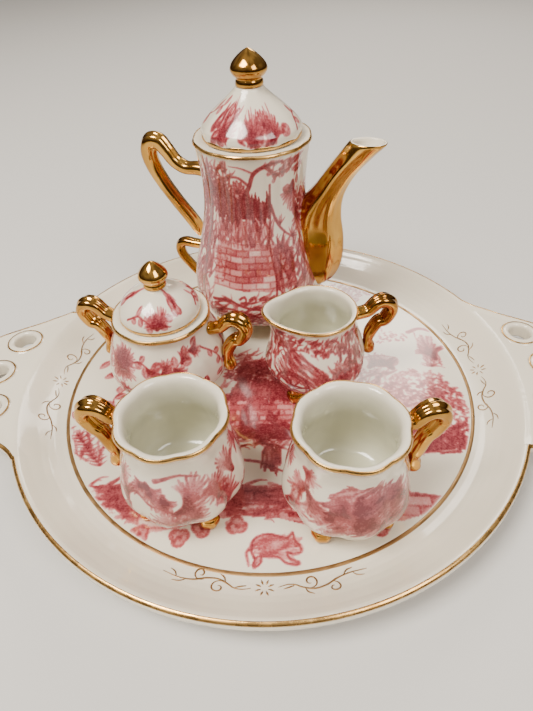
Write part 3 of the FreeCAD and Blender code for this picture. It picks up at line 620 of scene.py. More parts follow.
def hay_cart(canvas, u0, v0, size, tone):
    """A two-wheeled cart under a load of hay."""
    load = [(-0.9, 0.2), (-0.75, 0.75), (-0.35, 1.05), (0.15, 0.98), (0.75, 0.55), (1.15, 0.05),
            (0.9, -0.30), (0.35, -0.15), (-0.3, -0.05)]
    canvas.wash([(u0 + size * u, v0 + size * v) for u, v in load], tone, 2.5, 0.45, 0.32)
    for _ in range(26):
        start = canvas.random.uniform(-0.7, 0.7)
        level = canvas.random.uniform(0.1, 0.85) - 0.35 * max(0.0, start)
        canvas.stroke([(u0 + size * start, v0 + size * level),
                       (u0 + size * (start + 0.22), v0 + size * (level - 0.13)),
                       (u0 + size * (start + 0.40), v0 + size * (level - 0.36))], 0.42, tone * 0.8, 0.2)
    canvas.stroke([(u0 - 0.95 * size, v0 + 0.1 * size), (u0, v0 - 0.2 * size),
                   (u0 + 1.2 * size, v0 - 0.35 * size)], 0.8, tone)
    canvas.wheel(u0 - 0.15 * size, v0 - 0.35 * size, 0.62 * size, 9, tone)


def tree(canvas, u0, v0, tall, tone):
    """A trunk with bare forks and leaves at their ends."""
    canvas.wash([(u0 - 1.6, v0), (u0 + 1.6, v0), (u0 + 0.9, v0 + 0.7 * tall),
                 (u0 - 0.9, v0 + 0.7 * tall)], tone, 1.5, 0.4, 0.7)
    for lean in (-1.0, -0.45, 0.3, 0.9):
        tip = (u0 + 0.42 * tall * lean, v0 + tall * (1.0 - 0.12 * abs(lean)))
        canvas.spray([(u0, v0 + 0.55 * tall), (u0 + 0.16 * tall * lean, v0 + 0.8 * tall), tip],
                     0.11 * tall, tone, 1.8)
        canvas.bush(tip[0], tip[1], 0.16 * tall, 0.12 * tall, tone)


# ---------------------------------------------------------------- thrown vessels
def lobes(angle, count):
    """Round lobes that meet in narrow creases: 1 on a crest, about -0.65 in a crease."""
    return 2 * np.sqrt(0.97 * np.cos(count * angle / 2) ** 2 + 0.03) - 1


def throw(prefix, body, axis, turn, outside, inside, count, depth, canvas, lip=0.0, lift=0.0):
    """A lobed vessel: one closed wall up the outside, over the rim and down the inside.

    outside and inside are rows of radius, level above the well and share of the lobes.
    The print's u runs round the belly from the side that faces the front.
    """
    outer = smooth(outside, 0.34)
    inner = smooth(inside, 0.9)[1:]
    rows = np.vstack([outer, inner])
    belly = outer[:, 0].max()
    columns = int(2 * math.pi * belly / 0.34)
    angle = circle(columns)
    rim = outer[-1, 1]
    pull = np.maximum(0, -np.cos(angle)) ** 6
    near = np.clip((rows[:, 1] - 0.55 * rim) / (0.45 * rim), 0, 1) ** 2
    radius = (rows[:, 0, None] + depth * rows[:, 2, None] * lobes(angle, count)[None, :]
              + lip * near[:, None] * pull[None, :])
    level = rows[:, 1, None] + lift * near[:, None] * pull[None, :]
    world = angle + turn
    grid = np.stack([axis[0] + radius * np.cos(world), axis[1] + radius * np.sin(world),
                     WELL + np.broadcast_to(level, radius.shape)], axis=-1)
    around = wrapped(world - FRONT) * belly
    ink = np.zeros(radius.shape)
    printed = len(outer)
    ink[:printed] = canvas.at(np.broadcast_to(around, (printed, columns)),
                              np.broadcast_to(rows[:printed, 1, None], (printed, columns)))
    below_rim = np.clip(rim - 1.2 - rows[:printed, 1], 0, 1)
    off_the_base = np.clip((rows[:printed, 0] / belly - 0.55) / 0.1, 0, 1)
    ink[:printed] *= (below_rim * off_the_base)[:, None]
    # Painted shade inside the vessel: none at the rim, full from 5 mm below it and at the inner floor.
    shade = np.zeros(radius.shape)
    shade[printed:] = np.clip((rim - rows[printed:, 1]) / 5.0, 0, 1)[:, None]
    build(f"{prefix}_porcelain", *closed_grid(grid), body, "porcelain", [GLAZE], [f"{prefix}_body"],
          ink=with_ends(ink, 0, 0), shade=with_ends(shade, 0, 1))
    return grid[:printed]


def rim_line(name, body, ring, wide, high, slope=0.6):
    """A gold line on the outer shoulder of a rim that is given as a ring of points."""
    middle = ring.mean(0)
    outward = ring - middle
    outward[:, 2] = 0
    outward /= np.linalg.norm(outward, axis=1)[:, None]
    normal = outward + np.array([0, 0, slope])
    gild(name, ribbon(ring, normal, wide, high), body, LINE)


def lathe(name, body, axis, rows, step, material, slot, replaces, columns=96, count=0, depth=0.0,
          canvas=None, printed=0.0):
    """A turned piece from rows of radius, level above the well; open or solid profiles alike."""
    path = smooth(rows, step)
    angle = circle(columns)
    radius = path[:, 0, None] * (1 + depth * (np.cos(count * angle)[None, :] if count else 0))
    radius = np.broadcast_to(radius, (len(path), columns))
    grid = np.stack([axis[0] + radius * np.cos(angle), axis[1] + radius * np.sin(angle),
                     WELL + np.broadcast_to(path[:, 1, None], radius.shape)], axis=-1)
    points, faces = closed_grid(grid)
    values = {}
    if canvas:
        widest = path[:, 0].max()
        around = wrapped(angle - FRONT) * widest
        on = (path[:, 1] > printed)[:, None]
        ink = canvas.at(np.broadcast_to(around, radius.shape),
                        np.broadcast_to(path[:, 1, None], radius.shape)) * on
        values = {"ink": with_ends(ink, 0, 0), "shade": with_ends(np.zeros(radius.shape), 0, 0)}
    return build(name, points, faces, body, slot, [material], replaces, **values)


def strap(node, body, axis, turn, spine, flute=0.10):
    """A moulded handle: rows of distance out, level, half thickness, half width."""
    path = smooth(spine, 0.45)
    flow = np.gradient(path[:, :2], axis=0)
    flow /= np.linalg.norm(flow, axis=1)[:, None]
    angle = circle(40)
    from_spine = np.abs(np.abs(wrapped(angle)) - math.pi / 2)
    crease = 1 - flute * np.exp(-((from_spine - 0.42) / 0.22) ** 2)
    across = path[:, 3, None] * np.cos(angle) * crease
    up = path[:, 2, None] * np.sin(angle) * crease
    out = path[:, 0, None] - flow[:, 1, None] * up
    level = path[:, 1, None] + flow[:, 0, None] * up
    grid = np.stack([axis[0] + out * math.cos(turn) - across * math.sin(turn),
                     axis[1] + out * math.sin(turn) + across * math.cos(turn),
                     WELL + level], axis=-1)
    gild(node + "_gold", closed_grid(grid), body, GOLD, [node])


def feet(prefix, body):
    """Gilt ball feet with a small toe, one under each quarter."""
    for number in range(1, 5):
        node = f"{prefix}_foot_{number}"
        there = centre(node)
        tall = top(node) - WELL
        wide = half_wide(node)
        rows = [
            (0.45 * wide, 0.0), (0.78 * wide, 0.12), (0.97 * wide, 0.24 * tall),
            (1.0 * wide, 0.42 * tall), (0.90 * wide, 0.58 * tall), (0.74 * wide, 0.70 * tall),
            (0.78 * wide, 0.82 * tall), (0.84 * wide, tall)]
        lathe(node + "_gold", body, (there.x, there.y), rows, 0.35, GOLD, "gold_lustre", [node],
              columns=48, count=6, depth=0.035)


# ---------------------------------------------------------------- teapot
def paint_pot():
    canvas = Canvas(-76.0, 4.0, 152.0, 70.0, CELL, True, 11)
    canvas.wash([(-26, 8), (-22.5, 8), (-21, 30), (-20.5, 48), (-19, 64), (-22.5, 66), (-25, 45)],
                0.85, 1.5, 0.45, 0.45)
    for mark in (
            ((-31, 9, -18, 62), 210, 4.2, 0.8, 1.5), ((-18, 8, 26, 23), 130, 4.0, 0.7, 0.3),
            ((9, 23, 24, 40), 90, 3.8, 0.75, 1.4), ((-17, 40, 8, 47), 70, 3.0, 0.75, 1.5),
            ((-24, 56, -10, 67), 70, 3.4, 0.8, 0.9)):
        scrub(canvas, *mark)
    canvas.bush(-21, 62, 5, 6, 0.9)
    canvas.bush(-15, 58, 4.5, 3.5, 0.85)
    canvas.stroke([(-4, 57), (-1, 61), (1, 65), (6, 67.5), (13, 68)], 1.9, 0.8, 0.4)
    canvas.stroke([(6, 67), (11, 64), (16, 65), (21, 68)], 1.2, 0.75, 0.3)
    scrub(canvas, (4, 62, 22, 68), 34, 2.8, 0.7, 0.6)
    plume(canvas, 19, 60, -1.9, 9, 0.85)
    plume(canvas, 21, 50, -1.4, 8, 0.85)
    canvas.stroke([(-1, 61), (-6, 64), (-13, 63), (-18, 65)], 0.9, 0.7, 0.3)
    canvas.stroke([(1, 65), (-4, 67), (-9, 67.5)], 0.6, 0.6, 0.2)
    for u, v in ((9, 64.5), (12, 65.5), (16, 66.5)):
        canvas.tuft(u, v, 2.8, 4, 0.6, -0.4, 0.9)
    canvas.wash([(-17, 49), (7.5, 49), (8, 58.5), (4, 56.5), (-2, 59), (-8, 57.5), (-13, 60), (-17, 58)],
                1.0, 1.62, 0.35, 0.85)
    canvas.tuft(-6, 58.6, 4.2, 11, 0.75, 1.57, 1.45)
    canvas.blossom(-6, 59.5, 3.6, 12, 0.8)
    canvas.wash([(-16.5, 42), (6, 42), (7, 50), (-17, 50)], 0.75, 1.70, 0.40, 0.22)
    canvas.bush(-12, 43, 6, 2.2, 0.75)
    canvas.stroke([(7.6, 61), (7.4, 50), (6.2, 42), (7.5, 30), (7, 22)], 0.8, 0.85, 0.7)
    canvas.stroke([(7.8, 54), (10.5, 48), (14, 44), (18, 41.5)], 1.3, 0.8, 0.3)
    canvas.tuft(17, 42, 3.5, 6, 0.7, 0.9, 1.0)
    canvas.tuft(12, 47, 3.2, 5, 0.6, 1.4, 0.8)
    canvas.bricks([(-17, 26), (15, 25), (17, 38), (8, 41.5), (-17, 42)], 2.2, 0.95, 0.02)
    canvas.wash([(7, 24), (10.5, 24), (10, 41), (7.5, 41)], 0.7, 1.57, 0.4, 0.5)
    canvas.bush(-15, 34, 3.2, 8, 0.65)
    canvas.bush(15.5, 36, 3.0, 6, 0.7)
    canvas.wash([(9, 17), (27, 22), (26, 31), (18, 27), (12, 23)], 0.75, 0.5, 0.45, 0.45)
    for number in range(9):
        canvas.stroke([(9 + 1.9 * number, 17 + 0.6 * number), (11.5 + 1.9 * number, 22 + 0.8 * number)],
                      0.5, 0.65, 0.2)
    for place in (-6, -2.5, 1, 4.5):
        canvas.stroke([(place, 22.5), (place + 1.6, 23.6), (place + 2.2, 21.8), (place + 0.8, 21.2)],
                      0.8, 0.75, 0.5)
    canvas.stroke([(-17, 20), (-10, 21), (-3, 19), (4, 17), (6, 12), (3, 9)], 1.1, 0.75, 0.6)
    canvas.stroke([(-17, 14), (-10, 17.5), (-2, 16), (1.5, 12), (-3, 9.5), (-10, 11), (-12, 14)],
                  0.9, 0.7, 0.6)
    canvas.wash([(-16, 11), (-4, 12), (0, 15), (-8, 17), (-15, 15)], 0.4, 0.3, 0.5, 0.2)
    canvas.spray([(24, 67), (21.5, 62), (20, 56), (20.5, 51)], 4.6, 0.8, 2.6)
    canvas.leaf(21, 53, -1.7, 5.5, 0.95, 0.42)
    canvas.leaf(18.5, 57.5, 2.9, 5.0, 0.8, 0.36)
    tree(canvas, -40, 10, 52, 0.8)
    canvas.bush(-33, 14, 7, 4, 0.7)
    cottage(canvas, 52, 18, 20, 0.85)
    tree(canvas, 46, 12, 46, 0.8)
    canvas.bush(62, 14, 12, 4, 0.75)
    canvas.spray([(-70, 60), (-60, 56), (-52, 60), (-46, 64)], 4.5, 0.75)
    canvas.blossom(-62, 40, 5.0, 5, 0.8)
    canvas.spray([(-62, 40), (-56, 34), (-54, 26)], 5.0, 0.8)
    canvas.spray([(-62, 40), (-70, 34), (-74, 26)], 5.0, 0.8)
    return canvas


def paint_pot_lid():
    canvas = Canvas(-50.0, 70.0, 100.0, 16.0, CELL, True, 12)
    for shift in (-50, 0):
        for mark in (
                (shift + 2, 72.5, 1.7, 8, 0.75), (shift + 7, 73, 1.2, 8, 0.8),
                (shift - 10, 73, 1.3, 8, 0.8)):
            plume(canvas, *mark)
        scrub(canvas, (shift - 15, 72, shift - 6, 80), 40, 2.6, 0.7, 1.1)
        scrub(canvas, (shift - 3, 72, shift + 9, 76), 30, 2.6, 0.6, 1.5)
        canvas.bush(shift + 1, 74.5, 4.6, 2.6, 0.8)
        canvas.tuft(shift + 0.5, 72.5, 5.5, 10, 0.55, 1.57, 0.7)
        canvas.blossom(shift + 5.5, 77.6, 3.0, 12, 0.75)
        canvas.tuft(shift + 5.5, 77.0, 3.6, 10, 0.5, 1.2, 1.6)
        canvas.leaf(shift + 11, 74, 0.5, 4.5, 0.7, 0.36)
        canvas.wash([(shift - 13, 72), (shift - 7, 72), (shift - 8, 76), (shift - 12, 77)],
                    0.8, 1.2, 0.4, 0.5)
        canvas.stroke([(shift - 12, 73), (shift - 8, 76), (shift - 7, 80), (shift - 9, 82)], 1.3, 0.65, 0.3)
        canvas.bush(shift - 8.5, 79.5, 3.0, 2.2, 0.8)
        canvas.spray([(shift + 18, 74), (shift + 22, 77), (shift + 27, 78), (shift + 32, 81)], 3.6, 0.75)
    return canvas


def make_pot():
    axis = axis_of("pot")
    spout_way = bearing("pot_spout", axis)
    rim = top("pot_body") - WELL
    belly = half_wide("pot_body") - 0.3
    base = 5.6
    outside = [
        (0.01, base, 0), (8, base, 0), (14.6, base + 0.1, 0.3), (17.6, base + 0.9, 0.7),
        (0.865 * belly, 0.118 * rim, 1.0), (0.95 * belly, 0.165 * rim, 1.0), (belly, 0.248 * rim, 1.0),
        (0.96 * belly, 0.369 * rim, 1.0), (0.84 * belly, 0.518 * rim, 1.0),
        (0.746 * belly, 0.667 * rim, 1.0), (0.724 * belly, 0.794 * rim, 1.0),
        (0.748 * belly, 0.908 * rim, 0.9), (0.785 * belly, rim - 1.1, 0.6),
        (0.793 * belly, rim - 0.45, 0.5), (0.785 * belly, rim - 0.08, 0.4), (0.765 * belly, rim, 0.3)]
    inside = [
        (0.765 * belly, rim, 0.3), (13.6, rim - 0.15, 0), (12.75, rim - 0.4, 0), (12.6, rim - 1.0, 0),
        (12.6, rim - 2.6, 0), (13.0, rim - 3.1, 0), (16.0, rim - 3.4, 0), (16.4, rim - 5.0, 0),
        (15.4, 0.794 * rim, 0.8), (16.0, 0.667 * rim, 0.8), (18.2, 0.518 * rim, 0.8),
        (21.0, 0.369 * rim, 0.8), (22.0, 0.248 * rim, 0.8), (20.4, 0.155 * rim, 0.5),
        (16.0, base + 3.0, 0), (0.01, base + 3.0, 0)]
    grid = throw("pot", "pot", axis, spout_way, outside, inside, 12, 0.30, paint_pot())
    rim_line("pot_rim_line", "pot", grid[-4], 0.55, 0.16)
    make_spout(axis, spout_way, rim)
    back = bearing("pot_handle", axis)
    strap("pot_handle", "pot", axis, back, [
        (17.2, 57.3, 2.7, 3.0), (20.5, 57.6, 2.5, 2.8), (25.0, 57.5, 2.4, 2.7),
        (28.6, 59.4, 2.5, 2.7), (31.4, 63.0, 2.7, 2.8), (34.0, 65.8, 3.0, 2.9),
        (36.9, 65.4, 3.1, 3.0), (38.4, 61.8, 3.0, 3.0), (37.4, 56.8, 2.7, 2.9),
        (34.2, 50.6, 2.5, 2.8), (29.9, 44.2, 2.45, 2.7), (25.7, 38.6, 2.5, 2.7),
        (23.1, 34.6, 2.3, 2.5), (22.5, 31.8, 1.1, 1.3)], 0.18)
    strap("pot_handle_scroll", "pot", axis, back, [
        (22.4, 27.6, 1.9, 2.1), (26.0, 27.7, 1.9, 2.1), (29.8, 27.9, 1.9, 2.2),
        (32.0, 25.6, 1.9, 2.2), (31.4, 21.8, 1.8, 2.1), (28.4, 17.8, 1.7, 2.0),
        (25.4, 14.4, 1.5, 1.8), (23.8, 12.0, 0.8, 1.0)], 0.14)
    feet("pot", "pot")
    edge = half_wide("pot_lid")
    peak = top("pot_lid") - WELL
    lid = [
        (0.01, rim + 10.6), (5.0, rim + 8.2), (9.4, rim + 3.2), (10.7, rim + 0.6), (10.7, rim - 5.8),
        (11.4, rim - 6.0), (12.15, rim - 5.8), (12.2, rim - 0.2), (13.0, rim + 0.05),
        (edge - 0.7, rim + 0.05), (edge - 0.25, rim + 0.3), (edge - 0.05, rim + 1.2), (edge, rim + 2.8),
        (0.96 * edge, rim + 4.2), (0.80 * edge, rim + 6.9), (0.60 * edge, rim + 9.6),
        (0.42 * edge, rim + 12.0), (0.31 * edge, rim + 13.6), (0.24 * edge, peak - 0.1), (0.01, peak)]
    lathe("pot_lid_porcelain", "pot_lid", axis, lid, 0.30, GLAZE, "porcelain", ["pot_lid"], columns=340,
          count=12, depth=0.006, canvas=paint_pot_lid(), printed=rim + 1.4)
    ring = level_ring(axis, edge - 0.1, WELL + rim + 0.95, 160)
    rim_line("pot_lid_line", "pot_lid", ring, 0.62, 0.18, 0.1)
    finial("pot_finial", "pot_lid", axis)


def finial(node, body, axis):
    """A gilt bud: a collar, a pinched neck and a pointed bulb with a soft hammered twist."""
    low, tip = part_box(node)[0].z / MM - WELL, top(node) - WELL
    wide = half_wide(node)
    tall = tip - low
    rows = [
        (0.01, low), (0.66 * wide, low + 0.01), (0.76 * wide, low + 0.05 * tall),
        (0.74 * wide, low + 0.15 * tall), (0.70 * wide, low + 0.21 * tall),
        (0.88 * wide, low + 0.31 * tall), (wide, low + 0.44 * tall), (0.93 * wide, low + 0.58 * tall),
        (0.70 * wide, low + 0.74 * tall), (0.40 * wide, low + 0.88 * tall),
        (0.17 * wide, low + 0.96 * tall), (0.01, tip)]
    lathe(node + "_gold", body, axis, rows, 0.22, GOLD, "gold_lustre", [node], columns=80, count=5,
          depth=0.012)


def make_spout(axis, turn, rim):
    """The spout: level ovals from its root up to the mouth, then down inside its bore."""
    reach, mouth, sides = 43.0, 5.9, 72
    outside = [
        (0.215, 0.42, 0.50, 0.20), (0.248, 0.372, 0.545, 0.50), (0.284, 0.326, 0.640, 0.80),
        (0.355, 0.279, 0.702, 1.07), (0.440, 0.279, 0.726, 1.17), (0.539, 0.279, 0.721, 1.12),
        (0.638, 0.302, 0.695, 1.00), (0.723, 0.391, 0.698, 0.88), (0.794, 0.486, 0.735, 0.78),
        (0.865, 0.565, 0.802, 0.72), (0.936, 0.647, 0.902, 0.70), (0.990, 0.712, 0.988, 0.71),
        (1.001, 0.735, 0.990, 0.66)]
    inside = [
        (1.002, 0.745, 0.978, 0.58), (0.990, 0.750, 0.962, 0.50), (0.936, 0.700, 0.845, 0.42),
        (0.865, 0.615, 0.750, 0.42), (0.794, 0.545, 0.682, 0.45), (0.70, 0.50, 0.65, 0.5)]
    outer = smooth([(far * reach, level * rim, near * reach, half * mouth)
                    for level, near, far, half in outside], 0.5)
    inner = smooth([(far * reach, level * rim, near * reach, half * mouth)
                    for level, near, far, half in inside], 0.7)
    rows = np.vstack([outer, inner])
    angle = circle(sides)
    ribs = 1 + 0.035 * np.cos(7 * angle)[None, :] * np.clip((rim - rows[:, 1]) / 6.0, 0, 1)[:, None]
    ribs[len(outer):] = 1
    far, near = rows[:, 0, None], rows[:, 2, None]
    along = (far + near) / 2 + (far - near) / 2 * np.cos(angle) * ribs
    across = rows[:, 3, None] * np.sin(angle) * ribs
    level = np.broadcast_to(rows[:, 1, None], along.shape)
    wall = np.interp(level, [0, 11.5, 17.5, 26, 36.5, 47, 56, 64, 71],
                     [13, 20, 22.6, 21.8, 19, 16.7, 16.3, 16.9, 17.6])
    gap = np.hypot(along, across)
    push = np.maximum(1, wall / np.maximum(gap, 1e-6))
    along, across = along * push, across * push
    grid = np.stack([axis[0] + along * math.cos(turn) - across * math.sin(turn),
                     axis[1] + along * math.sin(turn) + across * math.cos(turn), WELL + level], axis=-1)
    spout = build("pot_spout_gold", *closed_grid(grid), "pot", "gold_lustre", [GOLD, GLAZE], ["pot_spout"])
    bore = np.zeros(len(spout.data.polygons), np.int32)
    bore[(len(outer) - 1) * sides:(len(rows) - 1) * sides] = 1
    bore[-sides:] = 1
    spout.data.polygons.foreach_set("material_index", bore)


# ---------------------------------------------------------------- small vessels
def paint_sugar():
    canvas = Canvas(-61.0, 3.0, 122.0, 30.0, CELL, True, 21)
    for heading in (-2.9, -2.2, -1.4, -0.6, 0.7, 1.9, 2.8):
        plume(canvas, -13.5, 21.5, heading, 6.5, 0.75)
    for u, v, heading in ((-3, 21.5, -0.5), (2, 20, 0.9), (6, 21, -0.6), (9, 22.5, 0.8), (13, 25, -0.3),
                          (3, 15, -1.4)):
        plume(canvas, u, v, heading, 5.0, 0.75)
    plume(canvas, -11, 9, 2.3, 6.5, 0.85)
    plume(canvas, -10, 9, 0.6, 6, 0.8)
    canvas.tuft(-13, 22, 6.0, 9, 0.8, -1.6, 1.5)
    canvas.blossom(-13.5, 22.5, 3.4, 9, 0.85)
    canvas.tuft(-13, 22, 5.0, 6, 0.7, 1.2, 1.4)
    canvas.spray([(-10, 22), (-6, 23.5), (-1, 21), (4, 20), (9, 23), (14, 26)], 4.0, 0.85, 1.9)
    canvas.spray([(2, 20), (3.5, 17), (3, 14)], 3.4, 0.8, 2.0)
    canvas.blossom(-11, 9.5, 3.6, 4, 0.85)
    canvas.spray([(-11, 9.5), (-15, 13), (-19, 18)], 3.6, 0.75)
    canvas.spray([(-9, 8.5), (-5, 7.5), (-2, 9)], 3.0, 0.7)
    for mark in (
            (6, 13.5, 0.5, 7.5, 1.0, 0.42), (13.5, 9.5, 1.1, 6.0, 0.95, 0.36),
            (10, 8, 2.4, 4.0, 0.8, 0.36)):
        canvas.leaf(*mark)
    canvas.spray([(18, 24), (22, 20), (24, 15), (23, 9)], 4.0, 0.8)
    for shift in (33, -34):
        canvas.blossom(shift, 18, 5.0, 5, 0.85, 0.4)
        canvas.spray([(shift, 18), (shift + 5, 22), (shift + 11, 22)], 4.2, 0.8)
        canvas.spray([(shift, 18), (shift - 5, 13), (shift - 8, 8)], 4.2, 0.8)
    canvas.spray([(50, 8), (54, 14), (58, 20), (64, 23)], 4.4, 0.85)
    return canvas


def paint_sugar_lid():
    canvas = Canvas(-40.0, 29.0, 80.0, 13.0, CELL, True, 22)
    for shift in (0, 27, -27):
        for mark in (
                (shift + 1.5, 33.2, 0.9, 5.5, 0.8), (shift + 1.5, 33.2, 2.3, 5.0, 0.8),
                (shift + 10, 37.5, 1.2, 4.0, 0.8)):
            plume(canvas, *mark)
        canvas.spray([(shift - 9, 34.5), (shift - 5, 36.2), (shift, 34.6), (shift + 4.5, 35.2)],
                     3.0, 0.8, 1.5)
        canvas.tuft(shift + 2.5, 33.6, 3.4, 9, 0.75, 1.5, 1.5)
        canvas.blossom(shift + 9.5, 37.2, 2.2, 4, 0.85, 0.8)
    return canvas


def paint_creamer():
    canvas = Canvas(-51.5, 3.0, 103.0, 30.0, CELL, True, 31)
    hay_cart(canvas, -7.0, 13.5, 9.5, 1.0)
    canvas.wash([(-17, 6), (12, 6), (8, 11), (-4, 8), (-16, 12)], 0.6, 0.2, 0.5, 0.5)
    scrub(canvas, (2, 7, 20, 17), 90, 2.6, 0.85, 2.2)
    scrub(canvas, (8, 16, 21, 28), 80, 2.4, 0.8, 1.4)
    canvas.bush(10.5, 11.5, 5.5, 6.5, 0.8)
    canvas.bush(16, 21, 4.0, 7.0, 0.75)
    scrub(canvas, (-17, 22, 9, 28), 60, 2.2, 0.75, 0.4)
    canvas.bush(2, 25, 7.5, 2.6, 0.85)
    canvas.bush(-12, 25.5, 5.0, 1.8, 0.7)
    canvas.stroke([(-17, 12), (-13, 8), (-8, 6.4), (0, 6), (8, 6.5)], 0.9, 0.8, 0.4)
    canvas.tuft(4, 6.2, 3.0, 6, 0.8)
    canvas.tuft(-14, 8, 3.0, 5, 0.8)
    scrub(canvas, (-25, 5, -16, 27), 60, 2.8, 0.7, 1.3)
    cottage(canvas, 32, 9, 12, 0.9)
    tree(canvas, 29, 6, 22, 0.85)
    scrub(canvas, (24, 5, 50, 12), 60, 2.6, 0.7, 0.5)
    canvas.bush(-40, 12, 8, 5, 0.8)
    canvas.spray([(-48, 22), (-42, 25), (-35, 23), (-30, 25)], 4.0, 0.85)
    return canvas


def paint_cup(seed, dark):
    """Big brushed plumes and blossoms; the dark cup has a broad brushed mass in front."""
    canvas = Canvas(-53.0, 3.0, 106.0, 32.0, CELL, True, seed)
    if dark:
        canvas.wash([(-6, 12), (14, 10), (19, 15), (16, 24), (6, 27), (-3, 27), (-8, 21)], 0.85, 0.35, 0.35,
                    0.65, 2.6)
        canvas.wash([(-4, 15), (12, 13), (15, 20), (9, 25), (-2, 24)], 0.6, 1.2, 0.4, 0.5, 2.4)
        for mark in (
                (-2, 20, -2.2, 11, 0.8), (8, 14, -1.7, 7, 0.75), (15, 14, 0.9, 9, 0.8),
                (-14, 22, -2.6, 8, 0.8), (-13, 21, -0.9, 8, 0.75), (-20, 12, 0.5, 9, 0.8),
                (-17, 26, -0.3, 7, 0.7), (-8, 8, 0.6, 6, 0.7)):
            plume(canvas, *mark)
        scrub(canvas, (10, 6, 22, 12), 18, 2.6, 0.6, 0.4)
        plume(canvas, 24, 18, 1.6, 9, 0.8)
    else:
        for mark in (
                (-7, 23, -0.9, 8, 0.8), (-7, 23, -2.4, 6, 0.75), (-2, 21, -1.4, 6, 0.85),
                (4, 17, 1.1, 10, 0.85), (9, 19, 0.2, 8, 0.85), (12, 21, -1.2, 8, 0.75),
                (1, 15, 0.2, 9, 0.7), (2, 9, 2.4, 9, 0.9), (2, 9, 0.9, 9, 0.85),
                (-13.5, 15, 1.9, 8, 0.75), (-13, 14, -1.9, 8, 0.75), (-8, 8, 0.4, 7, 0.7),
                (-19, 22, 0.3, 7, 0.7), (15, 10, 1.4, 9, 0.8), (20, 19, 1.8, 8, 0.8)):
            plume(canvas, *mark)
        canvas.stroke([(-4, 25), (2, 26.5), (9, 25)], 1.4, 0.6, 0.2)
        canvas.stroke([(-10, 19), (-5, 17), (0, 18)], 1.0, 0.6, 0.2)
    for shift in (34, -34):
        canvas.blossom(shift, 17, 6.0, 5, 0.85, 0.3 * shift)
        for mark in (
                (shift + 4, 12, -0.6, 9, 0.8), (shift - 4, 22, 2.5, 8, 0.8), (shift + 5, 22, 0.6, 8, 0.8),
                (shift - 6, 12, 3.6, 8, 0.75)):
            plume(canvas, *mark)
    plume(canvas, 49, 12, 1.2, 9, 0.85)
    plume(canvas, -49, 20, -0.8, 9, 0.85)
    canvas.mottle(2.6, 0.45, 1.35)
    canvas.mottle(0.9, 0.75, 1.25)
    return canvas


def scroll_spine(neck, neck_level, side, side_level, reach, high, thick):
    """A loop out under the rim, round a thick bend, back to the belly, ending in a knob."""
    out, up = reach - 5.75, high - 5.75
    rows = [
        (neck - 0.1, neck_level, 0.95, 1.0), (neck + 1.3, neck_level + 0.2, 0.9, 1.0),
        (out - 4.4, up + 0.1, 0.92, 1.05), (out - 1.9, up + 2.6, 1.0, 1.15),
        (out + 0.5, up + 3.3, 1.0, 1.25), (out + 2.7, up + 1.8, 1.0, 1.25),
        (out + 3.2, up - 0.9, 1.0, 1.2), (out + 1.5, up - 4.3, 0.95, 1.12), (0.5 * (out + side) + 1.9, 0.5
        * (up + side_level) + 1.7, 0.92, 1.05), (side + 2.3, side_level + 4.6, 0.9, 1.0),
        (side + 1.9, side_level + 1.4, 0.72, 0.8), (side + 2.1, side_level - 1.0, 0.95, 0.9),
        (side + 2.6, side_level - 3.0, 0.9, 0.85), (side + 3.1, side_level - 4.4, 0.35, 0.35)]
    return [(along, level, deep * thick, wide * thick) for along, level, deep, wide in rows]


